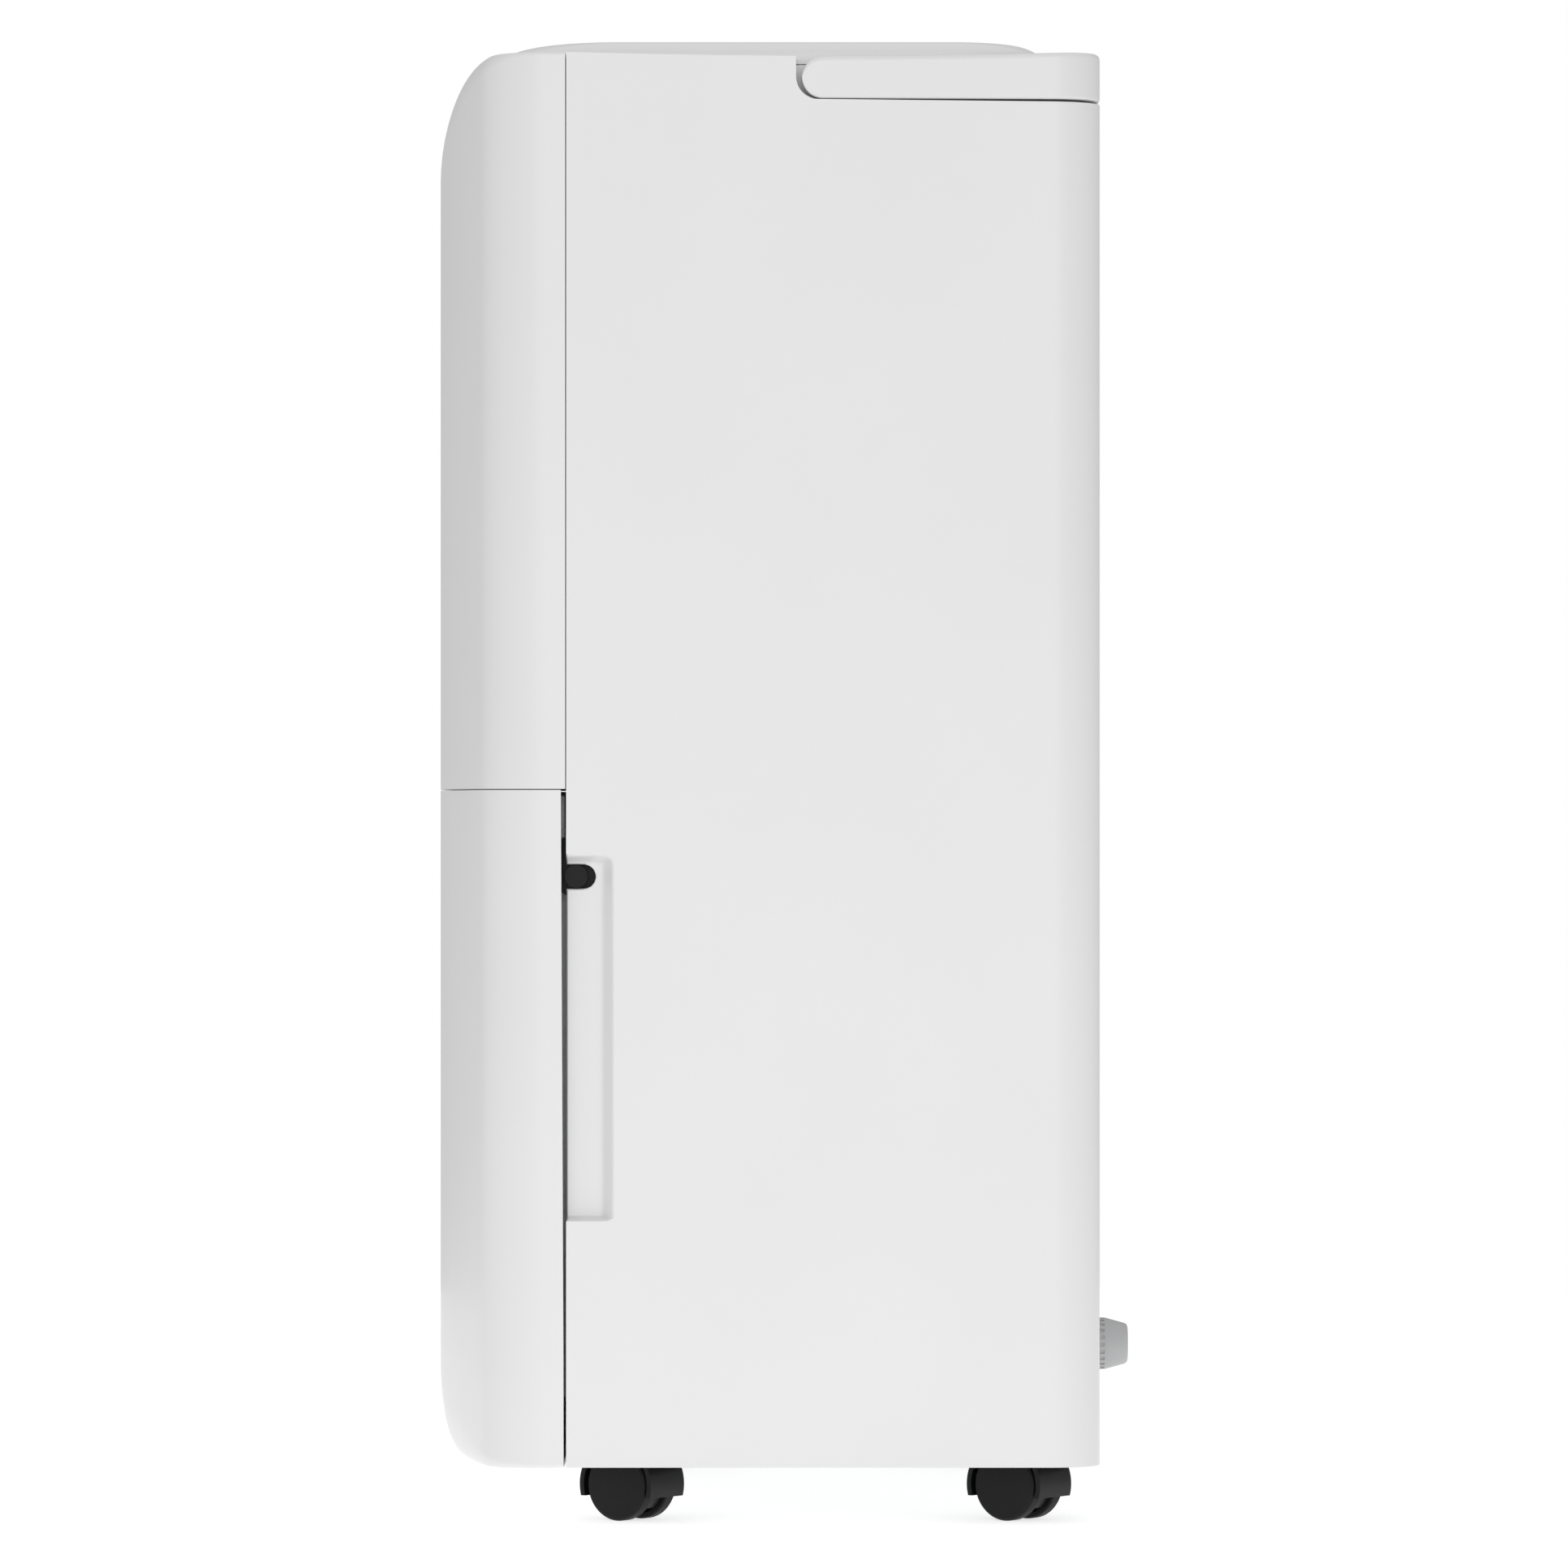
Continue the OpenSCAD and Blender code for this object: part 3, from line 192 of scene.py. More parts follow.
@dataclass(frozen=True)
class Moulding:
    """An injection-moulded plastic or rubber with a fine mould grain.

    Grain is the depth and grain_size the width of the mould's texture, both in metres. Mottle is the share
    by which the colour wanders over a hand's width.
    """

    name: str
    colour: tuple[float, float, float]
    roughness: float = 0.35
    grain: float = 4e-6
    grain_size: float = 0.5 * MM
    mottle: float = 0.015
    coat: float = 0.0
    specular: float = 0.5

    def material(self) -> bpy.types.Material:
        """Builds the material."""
        tree = Tree(self.name)
        blotch = tree.noise(90 * MM)
        low, high = shade(self.colour, 1 - self.mottle), shade(self.colour, 1 + self.mottle)
        tree.feed(tree.blend(blotch, [(0.3, low), (0.7, high)]), "Base Color")
        wear = tree.noise(14 * MM, 4)
        tree.feed(tree.span(wear, self.roughness - 0.035, self.roughness + 0.035), "Roughness")
        tree.emboss([(tree.noise(self.grain_size, 2), self.grain), (tree.noise(9 * MM, 1), self.grain * 1.5)])
        tree.constants(IOR=1.5, Coat_Weight=self.coat, Coat_Roughness=0.12, Specular_IOR_Level=self.specular)
        return tree.material


@dataclass(frozen=True)
class Metal:
    """A bare metal with drawn or brushed lines along an axis, and small stains."""

    name: str
    colour: tuple[float, float, float]
    tarnish: tuple[float, float, float]
    roughness: float = 0.3
    lines: tuple[float, float, float] = (1, 1, 1)
    depth: float = 6e-6

    def material(self) -> bpy.types.Material:
        """Builds the material."""
        tree = Tree(self.name)
        stain = tree.noise(22 * MM, 6)
        tree.feed(tree.blend(stain, [(0.35, self.colour), (0.75, self.tarnish)]), "Base Color")
        tree.feed(tree.span(stain, self.roughness - 0.06, self.roughness + 0.16), "Roughness")
        tree.emboss([(tree.noise(0.6 * MM, 3, self.lines), self.depth)])
        tree.constants(Metallic=1.0)
        return tree.material


@dataclass(frozen=True)
class FinStack:
    """Thin aluminium fins side by side, with painted shade in the gaps between them and dust on their edges.
    """

    name: str
    pitch: float = 1.8 * MM

    def material(self) -> bpy.types.Material:
        """Builds the material."""
        tree = Tree(self.name)
        fin_and_gap_shade = tree.ribs(self.pitch, "X")
        dust = tree.noise(30 * MM, 5)
        # the colour runs to near black in the gaps between the fins: painted shade
        tree.feed(tree.blend(fin_and_gap_shade, [(0.15, (0.03, 0.03, 0.035)), (0.55, (0.62, 0.64, 0.66))]), "Base Color")
        tree.feed(tree.span(dust, 0.28, 0.5), "Roughness")
        tree.emboss([(fin_and_gap_shade, 0.7 * MM), (tree.noise(3 * MM), 3e-5)])
        tree.constants(Metallic=0.85)
        return tree.material


@dataclass(frozen=True)
class EnamelPaint:
    """A sprayed metal with orange peel under a clear gloss."""

    name: str
    colour: tuple[float, float, float]

    def material(self) -> bpy.types.Material:
        """Builds the material."""
        tree = Tree(self.name)
        wear = tree.noise(16 * MM, 7)
        tree.feed(tree.blend(wear, [(0.3, self.colour), (0.8, shade(self.colour, 1.6))]), "Base Color")
        tree.feed(tree.span(wear, 0.3, 0.48), "Roughness")
        tree.emboss([(tree.noise(1.4 * MM, 2), 3e-5)])
        tree.constants(Coat_Weight=0.35, Coat_Roughness=0.15)
        return tree.material


@dataclass(frozen=True)
class CircuitLaminate:
    """Green solder mask over copper tracks."""

    name: str

    def material(self) -> bpy.types.Material:
        """Builds the material."""
        tree = Tree(self.name)
        tracks = tree.nodes.new("ShaderNodeTexBrick")
        tracks.inputs["Scale"].default_value = 90
        tracks.inputs["Mortar Size"].default_value = 0.03
        tracks.inputs["Color1"].default_value = (0.012, 0.11, 0.045, 1)
        tracks.inputs["Color2"].default_value = (0.014, 0.13, 0.05, 1)
        tracks.inputs["Mortar"].default_value = (0.03, 0.2, 0.08, 1)
        tree.links.new(tree.place, tracks.inputs["Vector"])
        tree.feed(tracks.outputs["Color"], "Base Color")
        tree.feed(tree.span(tree.noise(5 * MM), 0.25, 0.4), "Roughness")
        tree.emboss([(tracks.outputs["Fac"], 2e-5)])
        return tree.material


@dataclass(frozen=True)
class FoamedBeads:
    """Closed-cell foam with the outlines of its pressed beads, darker at their rims as painted shade."""

    name: str
    colour: tuple[float, float, float]
    bead: float = 3.2 * MM

    def material(self) -> bpy.types.Material:
        """Builds the material."""
        tree = Tree(self.name)
        beads = tree.grains(self.bead)
        # each bead darkens towards its rim, where the bump sinks it: painted shade in the creases between
        # beads
        tree.feed(tree.blend(beads, [(0.2, self.colour), (0.9, shade(self.colour, 0.86))]), "Base Color")
        tree.feed(tree.span(beads, 0.6, 0.75), "Roughness")
        tree.emboss([(tree.span(beads, 1, 0), 2e-4)])
        return tree.material


@dataclass(frozen=True)
class ClearMoulding:
    """A see-through plastic with a faint tint and mould waviness."""

    name: str
    colour: tuple[float, float, float]
    clearness: float
    roughness: float

    def material(self) -> bpy.types.Material:
        """Builds the material."""
        tree = Tree(self.name)
        haze = tree.noise(35 * MM)
        tree.feed(tree.blend(haze, [(0.3, self.colour), (0.7, shade(self.colour, 1.05))]), "Base Color")
        tree.feed(tree.span(haze, self.roughness - 0.03, self.roughness + 0.04), "Roughness")
        tree.emboss([(tree.noise(4 * MM, 1), 1e-5)])
        tree.constants(Transmission_Weight=self.clearness, IOR=1.5)
        return tree.material


class Slot(Enum):
    """The frame's material slots and the finish of each."""

    BODY = ("body_white", Moulding("white_shell", (0.815, 0.817, 0.814), 0.33, 3e-6, 0.45 * MM, 0.008, 0.12))
    GRILLE = ("grille_white", Moulding("white_grille", (0.77, 0.773, 0.77), 0.42, 5e-6))
    PANEL = ("panel_grey", Moulding("grey_panel", (0.42, 0.43, 0.44), 0.38, 6e-6, 0.35 * MM))
    BUTTON = ("button_grey", Moulding("grey_button", (0.62, 0.63, 0.64), 0.34, 4e-6, 0.3 * MM))
    DISPLAY = (
        "display_black",
        Moulding("black_display", (0.008, 0.009, 0.011), 0.08, 1e-6, 0.6 * MM, 0.05, 0.5),
    )
    INNER = ("inner_plastic", Moulding("inner_moulding", (0.50, 0.51, 0.52), 0.5, 1e-5, 0.8 * MM, 0.03))
    FAN = ("fan_plastic", Moulding("fan_moulding", (0.56, 0.57, 0.58), 0.45, 8e-6))
    TUB = ("tub_plastic", ClearMoulding("tub_moulding", (0.80, 0.82, 0.82), 0.25, 0.42))
    FLOAT = ("float_foam", FoamedBeads("float_beads", (0.74, 0.73, 0.68)))
    WINDOW = ("clear_window", ClearMoulding("smoked_window", (0.30, 0.34, 0.37), 0.7, 0.07))
    BLACK = (
        "black_plastic",
        Moulding("black_moulding", (0.006, 0.006, 0.0065), 0.40, 1.2e-5, 0.4 * MM, 0.12, specular=0.22),
    )
    WHEEL = (
        "wheel_rubber",
        Moulding("wheel_tread", (0.009, 0.009, 0.0095), 0.55, 2e-5, 0.5 * MM, 0.2, specular=0.2),
    )
    STEEL = (
        "steel_pins",
        Metal("plated_steel", (0.60, 0.60, 0.59), (0.42, 0.41, 0.39), 0.28, (1, 1, 1), 8e-6),
    )
    FINS = ("coil_fins", FinStack("aluminium_fins"))
    COPPER = ("copper", Metal("drawn_copper", (0.78, 0.36, 0.20), (0.40, 0.17, 0.09), 0.26, (0.2, 1, 1)))
    PAINT = ("compressor_paint", EnamelPaint("black_enamel", (0.014, 0.014, 0.016)))
    MOTOR = (
        "motor_metal",
        Metal("zinc_plate", (0.52, 0.53, 0.54), (0.36, 0.37, 0.38), 0.34, (1, 0.15, 1), 1e-5),
    )
    MOUNT = ("mount_rubber", Moulding("mount_rubber", (0.02, 0.02, 0.021), 0.62, 3e-5, 0.7 * MM, 0.2))
    BOARD = ("board_green", CircuitLaminate("green_laminate"))
    CAN = (
        "capacitor_can",
        Metal("drawn_can", (0.70, 0.71, 0.72), (0.55, 0.56, 0.57), 0.24, (1, 1, 0.1), 5e-6),
    )
    MESH = ("mesh_grey", Moulding("woven_net", (0.10, 0.105, 0.11), 0.6, 1e-5))
    CAP = ("cap_grey", Moulding("grey_cap", (0.48, 0.485, 0.49), 0.4, 6e-6, 0.35 * MM, 0.02))

    def __init__(self, slot: str, finish: object) -> None:
        """Keeps the slot's name in the record and its finish."""
        self.slot = slot
        self.finish = finish


class Wardrobe:
    """Builds each finish once and hands it out."""

    def __init__(self) -> None:
        """Starts with no material built."""
        self.built: dict[Slot, bpy.types.Material] = {}

    def material(self, slot: Slot) -> bpy.types.Material:
        """The material of a slot."""
        if slot not in self.built:
            self.built[slot] = slot.finish.material()
        return self.built[slot]


WARDROBE = Wardrobe()


# ---------------------------------------------------------------- shaping


class Loft:
    """Sweeps a row of points through stations by extruding its edges."""

    def __init__(self, closed: bool) -> None:
        """Starts an empty mesh.

        Args:
            closed: Whether the last point of a row joins the first.
        """
        self.mesh = bmesh.new()
        self.index = self.mesh.verts.layers.int.new("index")
        self.closed = closed
        self.edges: list[bmesh.types.BMEdge] = []

    def station(self, points: Sequence[Vector]) -> None:
        """Adds one row of points, each joined to its own point in the row before."""
        if not self.edges:
            row = [self.mesh.verts.new(point) for point in points]
            for number, vert in enumerate(row):
                vert[self.index] = number
            ends = row[1:] + row[:1] if self.closed else row[1:]
            self.edges = [self.mesh.edges.new(pair) for pair in zip(row, ends)]
            return
        grown = bmesh.ops.extrude_edge_only(self.mesh, edges=self.edges)["geom"]
        fresh = {item for item in grown if isinstance(item, bmesh.types.BMVert)}
        for vert in fresh:
            vert.co = points[vert[self.index]]
        self.edges = [
            item for item in grown if isinstance(item, bmesh.types.BMEdge) and fresh.issuperset(item.verts)
        ]

    def cap(self) -> None:
        """Closes the last row with one face."""
        bmesh.ops.edgeloop_fill(self.mesh, edges=self.edges)


def solid_loft(sections: Sequence[Sequence[Vector]]) -> bmesh.types.BMesh:
    """A closed solid swept through closed sections, with a flat face at each end."""
    loft = Loft(closed=True)
    loft.station(sections[0])
    loft.cap()
    for section in sections[1:]:
        loft.station(section)
    loft.cap()
    bmesh.ops.recalc_face_normals(loft.mesh, faces=loft.mesh.faces)
    return loft.mesh


def split(mesh: bmesh.types.BMesh, place: Sequence[float], normal: Sequence[float]) -> None:
    """Cuts every face of a mesh along a plane."""
    everything = [*mesh.verts, *mesh.edges, *mesh.faces]
    bmesh.ops.bisect_plane(mesh, geom=everything, plane_co=place, plane_no=normal, dist=ON_PLANE)


def add_block(mesh: bmesh.types.BMesh, low: Sequence[float], high: Sequence[float]) -> None:
    """Adds a solid box between two corners."""
    low, high = Vector(low), Vector(high)
    made = bmesh.ops.create_cube(mesh, size=1)["verts"]
    bmesh.ops.scale(mesh, vec=[abs(span) for span in high - low], verts=made)
    bmesh.ops.translate(mesh, vec=(low + high) / 2, verts=made)


def face_out(mesh: bmesh.types.BMesh, inside: Vector) -> None:
    """Turns an open or closed shell so that its faces point away from a point inside it."""
    bmesh.ops.recalc_face_normals(mesh, faces=mesh.faces)
    outward = sum(
        (face.calc_center_median() - inside).dot(face.normal) * face.calc_area() for face in mesh.faces
    )
    if outward < 0:
        bmesh.ops.reverse_faces(mesh, faces=mesh.faces)


def put(
    mesh: bmesh.types.BMesh, name: str, slot: Slot, body: str, replaces: Sequence[str] = ()
) -> bpy.types.Object:
    """Makes a piece of a finished mesh.

    Args:
        mesh: The mesh, which is freed.
        name: The piece's name.
        slot: Its material slot.
        body: The frame body that it rides on.
        replaces: Frame nodes that it stands for.

    Returns:
        The new object.
    """
    data = bpy.data.meshes.new(name)
    mesh.to_mesh(data)
    mesh.free()
    for polygon in data.polygons:
        polygon.use_smooth = True
    data.materials.append(WARDROBE.material(slot))
    piece = bpy.data.objects.new(name, data)
    bpy.context.scene.collection.objects.link(piece)
    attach(piece, body)
    if replaces:
        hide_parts(*replaces)
    log.info("%s on %s, %d faces", name, body, len(data.polygons))
    return piece


def thicken(piece: bpy.types.Object, thickness: float) -> None:
    """Gives a skin its wall, inwards from its faces."""
    wall = piece.modifiers.new("wall", "SOLIDIFY")
    wall.thickness = thickness
    wall.offset = -1
    wall.use_even_offset = True
    wall.use_quality_normals = True


def break_edges(piece: bpy.types.Object, width: float, segments: int = 3, angle: float = 30) -> None:
    """Rounds the sharp edges and evens the shading over flat faces.

    Args:
        piece: The object.
        width: Width of the rounding in metres.
        segments: Faces across the rounding.
        angle: Edges sharper than this, in degrees, are rounded.
    """
    bevel = piece.modifiers.new("edges", "BEVEL")
    bevel.width = width
    bevel.segments = segments
    bevel.limit_method = "ANGLE"
    bevel.angle_limit = math.radians(angle)
    bevel.miter_outer = "MITER_ARC"
    even_shading(piece)


def even_shading(piece: bpy.types.Object) -> None:
    """Shades each point by its largest faces."""
    shading = piece.modifiers.new("shading", "WEIGHTED_NORMAL")
    shading.weight = 80
    shading.keep_sharp = False


# flat faces with many holes in them keep their triangles
PIERCED = ("filter_frame", "outlet_grille", "base_pan", "bulkhead", "bucket_lid", "fan_scroll")


def dress(node: str, slot: Slot, width: float = 0.3 * MM, segments: int = 2) -> None:
    """Gives a frame node its finish and broken edges.

    Args:
        node: The node's name.
        slot: Its material slot.
        width: Width of the edge rounding in metres.
        segments: Faces across the rounding.
    """
    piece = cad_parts[node]
    piece.data.materials.clear()
    piece.data.materials.append(WARDROBE.material(slot))
    for polygon in piece.data.polygons:
        polygon.use_smooth = True
    weld = piece.modifiers.new("weld", "WELD")
    weld.merge_threshold = SAME_PLACE
    if node not in PIERCED:
        flat = piece.modifiers.new("flat", "DECIMATE")
        flat.decimate_type = "DISSOLVE"
        flat.angle_limit = math.radians(0.6)
    break_edges(piece, width, segments)
    log.info("%s keeps its frame mesh", node)


class Join(Enum):
    """How a tool acts on a piece."""

    ADD = "UNION"
    CUT = "DIFFERENCE"


def combine(piece: bpy.types.Object, tools: Sequence[tuple[bmesh.types.BMesh, Join]]) -> None:
    """Adds solids to a piece or cuts them out of it, and keeps the result as its mesh.

    Args:
        piece: The object, whose modifiers are applied first.
        tools: Solids and how each one acts, in order.
    """
    helpers = []
    for mesh, join in tools:
        data = bpy.data.meshes.new("tool")
        bmesh.ops.recalc_face_normals(mesh, faces=mesh.faces)
        mesh.to_mesh(data)
        mesh.free()
        helper = bpy.data.objects.new("tool", data)
        bpy.context.scene.collection.objects.link(helper)
        helpers.append(helper)
        step = piece.modifiers.new("step", "BOOLEAN")
        step.operation = join.value
        step.object = helper
        step.solver = "EXACT"
    bpy.context.view_layer.update()
    shaped = bpy.data.meshes.new_from_object(piece.evaluated_get(bpy.context.evaluated_depsgraph_get()))
    piece.modifiers.clear()
    materials = list(piece.data.materials)
    mesh = bmesh.new()
    mesh.from_mesh(shaped)
    bmesh.ops.remove_doubles(mesh, verts=mesh.verts, dist=ON_PLANE)
    for face in mesh.faces:
        face.smooth = True
        face.material_index = 0
    mesh.to_mesh(piece.data)
    mesh.free()
    piece.data.materials.clear()
    for material in materials:
        piece.data.materials.append(material)
    for helper in helpers:
        bpy.data.objects.remove(helper)


def block(low: Sequence[float], high: Sequence[float]) -> bmesh.types.BMesh:
    """A solid box between two corners, as a mesh of its own."""
    mesh = bmesh.new()
    add_block(mesh, low, high)
    return mesh


def rod(centre: Sequence[float], radius: float, length: float, segments: int = 48) -> bmesh.types.BMesh:
    """A solid rod along X.

    Args:
        centre: Its middle.
        radius: Its radius.
        length: Its length.
        segments: Faces round it.

    Returns:
        The rod's mesh.
    """
    mesh = bmesh.new()
    bmesh.ops.create_cone(
        mesh, cap_ends=True, segments=segments, radius1=radius, radius2=radius, depth=length
    )
    bmesh.ops.rotate(mesh, matrix=Matrix.Rotation(math.pi / 2, 3, "Y"), verts=mesh.verts)
    bmesh.ops.translate(mesh, vec=Vector(centre), verts=mesh.verts)
    return mesh


def ease(share: float) -> float:
    """Smooth step from 0 to 1."""
    share = min(1.0, max(0.0, share))
    return share * share * (3 - 2 * share)


def merged_copy(node: str) -> bmesh.types.BMesh:
    """A copy of a frame node's mesh with its triangles joined into whole flat faces."""
    mesh = bmesh.new()
    mesh.from_mesh(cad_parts[node].data)
    bmesh.ops.remove_doubles(mesh, verts=mesh.verts, dist=SAME_PLACE)
    bmesh.ops.dissolve_limit(mesh, angle_limit=math.radians(0.5), verts=mesh.verts, edges=mesh.edges)
    return mesh


# ---------------------------------------------------------------- the body's outline


@dataclass(frozen=True)
class Outline:
    """Plan outline and main heights of the body, most of them read from the frame."""

    half_width: float = field(default_factory=lambda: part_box("cabinet")[1].x)
    back_y: float = field(default_factory=lambda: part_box("cabinet")[1].y)
    crown_y: float = field(default_factory=lambda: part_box("front_panel")[0].y)
    top: float = field(default_factory=lambda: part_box("front_panel")[1].z)
    bucket_top: float = field(default_factory=lambda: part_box("bucket_front")[1].z)
    base: float = field(default_factory=lambda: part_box("base_pan")[0].z)
    chin_low: float = field(default_factory=lambda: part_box("bucket_front")[0].z)
    seam_gap: float = 0.4 * MM
    side_run: float = 6.7 * MM
    front_corner: float = 30 * MM
    rear_corner: float = 20 * MM
    wall: float = 2.5 * MM
    sag: float = 1.7 * MM
    fade_power: float = 3
    seam_y: float = field(default_factory=lambda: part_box("cabinet")[0].y - 0.2 * MM)

    @property
    def corner_centre(self) -> Vector:
        """Centre of the right front corner's arc."""
        return Vector((self.half_width - self.front_corner, self.seam_y - self.side_run))

    @property
    def bow(self) -> tuple[float, float]:
        """Radius of the bowed front and depth of its centre."""
        centre = self.corner_centre
        rise = centre.y - self.crown_y
        radius = (centre.x**2 + rise**2 - self.front_corner**2) / (2 * (rise - self.front_corner))
        return radius, self.crown_y + radius

    def front_half(self, corner_steps: int = 12, bow_steps: int = 26) -> list[tuple[Vector, Vector]]:
        """Points and outward directions from the middle of the bow to the corner's end on the right.

        Args:
            corner_steps: Steps round the corner.
            bow_steps: Steps along half the bow.

        Returns:
            Pairs of point and direction in plan.
        """
        radius, bow_y = self.bow
        centre = self.corner_centre
        away = (centre - Vector((0, bow_y))).normalized()
        meet = math.atan2(away.y, away.x)
        row = []
        for step in range(bow_steps):
            turn = -math.pi / 2 + (meet + math.pi / 2) * step / bow_steps
            out = Vector((math.cos(turn), math.sin(turn)))
            row.append((Vector((0, bow_y)) + radius * out, out))
        for step in range(corner_steps + 1):
            turn = meet * (1 - step / corner_steps)
            out = Vector((math.cos(turn), math.sin(turn)))
            row.append((centre + self.front_corner * out, out))
        return row

    def front(self) -> list[tuple[Vector, Vector]]:
        """The whole front from the left corner's end to the right one."""
        right = self.front_half()
        left = [(Vector((-p.x, p.y)), Vector((-n.x, n.y))) for p, n in reversed(right[1:])]
        return left + right

    def fade(self, y: float) -> float:
        """How much of the crown's roundness is left at a depth: 1 at the crown, 0 at the corner's end."""
        start = self.corner_centre.y
        share = (start - y) / (start - self.crown_y)
        return max(0.0, share) ** self.fade_power

    def sagged(self, y: float) -> float:
        """Height of the side walls' dipped top edge at a depth."""
        half = (self.back_y - self.seam_y) / 2
        share = (y - self.seam_y - half) / half
        return self.top - self.sag * (1 - min(1.0, share * share))


BODY = Outline()


# ---------------------------------------------------------------- front mouldings


@dataclass
class Front:
    """The bowed front: the fixed upper panel and the bucket's front below it."""

    shoulder_depth: float = 24 * MM
    shoulder_height: float = 44 * MM
    chin_depth: float = 9 * MM
    chin_height: float = 36 * MM
    tight: float = 1.2 * MM
    gap_top: float = 2.0 * MM
    gap_low: float = 0.7 * MM
    window_half: float = 8 * MM
    window_low: float = 90 * MM
    window_high: float = 240 * MM
    lip: float = 12 * MM
    lip_height: float = 2 * MM
    middle: float = 165 * MM
    rib: float = 70 * MM
    edge: float = 0.35 * MM
    round_steps: int = 14

    def row(self, z: float, inset: float, end_y: float) -> list[Vector]:
        """One row of the skin.

        Args:
            z: Height of the row, or its middle where it dips.
            inset: How far the row lies inside the outline at the crown.
            end_y: Depth where the row stops on both sides.

        Returns:
            The points from the left end to the right end.
        """
        points = [Vector((*(point - out * inset), z)) for point, out in BODY.front()]
        return [Vector((points[0].x, end_y, z)), *points, Vector((points[-1].x, end_y, z))]

    def rounded(
        self, turn: float, depth: float, height: float, edge_z: float, up: int, end_y: float
    ) -> list[Vector]:
        """One row of the shoulder or the chin, whose roundness fades towards the sides.

        Args:
            turn: Angle round the quarter ellipse, 0 where it leaves the wall.
            depth: Depth of the ellipse at the crown.
            height: Height of the ellipse at the crown.
            edge_z: Height of the flat that the ellipse runs into.
            up: 1 for the shoulder and -1 for the chin.
            end_y: Depth where the row stops on both sides.

        Returns:
            The points from the left end to the right end.
        """
        points = []
        for point, out in BODY.front():
            fade = BODY.fade(point.y)
            run = self.tight + (depth - self.tight) * fade
            rise = 1.25 * self.tight + (height - 1.25 * self.tight) * fade
            inner = point - out * run * (1 - math.cos(turn))
            points.append(Vector((*inner, edge_z - up * rise * (1 - math.sin(turn)))))
        first, last = points[0], points[-1]
        return [Vector((first.x, end_y, first.z)), *points, Vector((last.x, end_y, last.z))]

    def upper_panel(self) -> bpy.types.Object:
        """The fixed front with its shoulder, down to the seam over the bucket."""
        low = BODY.bucket_top + BODY.seam_gap
        end_y = BODY.seam_y - BODY.seam_gap / 2
        loft = Loft(closed=False)
        loft.station(self.row(low, 0, end_y))
        for step in range(self.round_steps + 1):
            turn = math.pi / 2 * step / self.round_steps
            loft.station(self.rounded(turn, self.shoulder_depth, self.shoulder_height, BODY.top, 1, end_y))
        self.close_to_seam(loft, end_y)
        face_out(loft.mesh, Vector((0, end_y, (low + BODY.top) / 2)))
        piece = put(loft.mesh, "front_upper_panel", Slot.BODY, "housing", ["front_panel"])
        thicken(piece, BODY.wall)
        break_edges(piece, self.edge, 2)
        return piece

    def close_to_seam(self, loft: Loft, end_y: float) -> None:
        """Fills the flat between the last row and the seam."""
        row = set(loft.edges)
        verts = [vert for edge in loft.edges for vert in edge.verts]
        ends = [vert for vert in verts if len(row.intersection(vert.link_edges)) == 1]
        across = loft.mesh.edges.new(ends)
        bmesh.ops.edgeloop_fill(loft.mesh, edges=[*loft.edges, across])

    def panel_lip(self) -> bpy.types.Object:
        """The flange inside the upper panel's lower edge, over the bucket."""
        low = BODY.bucket_top + BODY.seam_gap
        high = low + self.lip_height
        near = BODY.wall - BODY.seam_gap / 2
        far = near + self.lip
        loft = Loft(closed=False)
        for z, inset in ((low, near), (low, far), (high, far), (high, near)):
            loft.station(self.row(z, inset, BODY.corner_centre.y))
        bmesh.ops.bridge_loops(loft.mesh, edges=[edge for edge in loft.mesh.edges if edge.is_boundary])
        face_out(loft.mesh, Vector((0, 0, low)))
        return put(loft.mesh, "front_panel_lip", Slot.BODY, "housing")

    def bucket_front(self) -> bpy.types.Object:
        """The bucket's front with its chin, level window opening and leaning rear edge."""

        def end_y(z: float) -> float:
            share = (z - BODY.base) / (BODY.bucket_top - BODY.base)
            return BODY.seam_y - self.gap_low - (self.gap_top - self.gap_low) * share

        loft = Loft(closed=False)
        chin_z = BODY.chin_low + self.chin_height
        for z in (BODY.bucket_top, self.window_high, self.middle, self.window_low, self.rib):
            loft.station(self.row(z, 0, end_y(z)))
        for step in range(self.round_steps + 1):
            turn = math.pi / 2 * step / self.round_steps
            z = chin_z - self.chin_height * math.sin(turn)
            loft.station(self.rounded(turn, self.chin_depth, self.chin_height, BODY.chin_low, -1, end_y(z)))
        self.close_to_seam(loft, end_y(BODY.base))
        self.lift_underside(loft.mesh)
        self.cut_window(loft.mesh)
        face_out(loft.mesh, Vector((0, BODY.seam_y, self.middle)))
        piece = put(loft.mesh, "bucket_front_moulding", Slot.BODY, "bucket", ["bucket_front"])
        thicken(piece, BODY.wall)
        break_edges(piece, self.edge, 2)
        return piece

    def lift_underside(self, mesh: bmesh.types.BMesh) -> None:
        """Raises the underside from the chin's low point to the base, its rounded edge by half as much."""
        start = BODY.crown_y + self.chin_depth
        for vert in mesh.verts:
            if vert.co.z < BODY.base + 2 * MM:
                level = max(0.0, (vert.co.y - start) / (BODY.seam_y - start))
                share = 1.0 if vert.co.z < BODY.base + 1 * MM else 0.5
                vert.co.z += (BODY.base - BODY.chin_low) * level * share

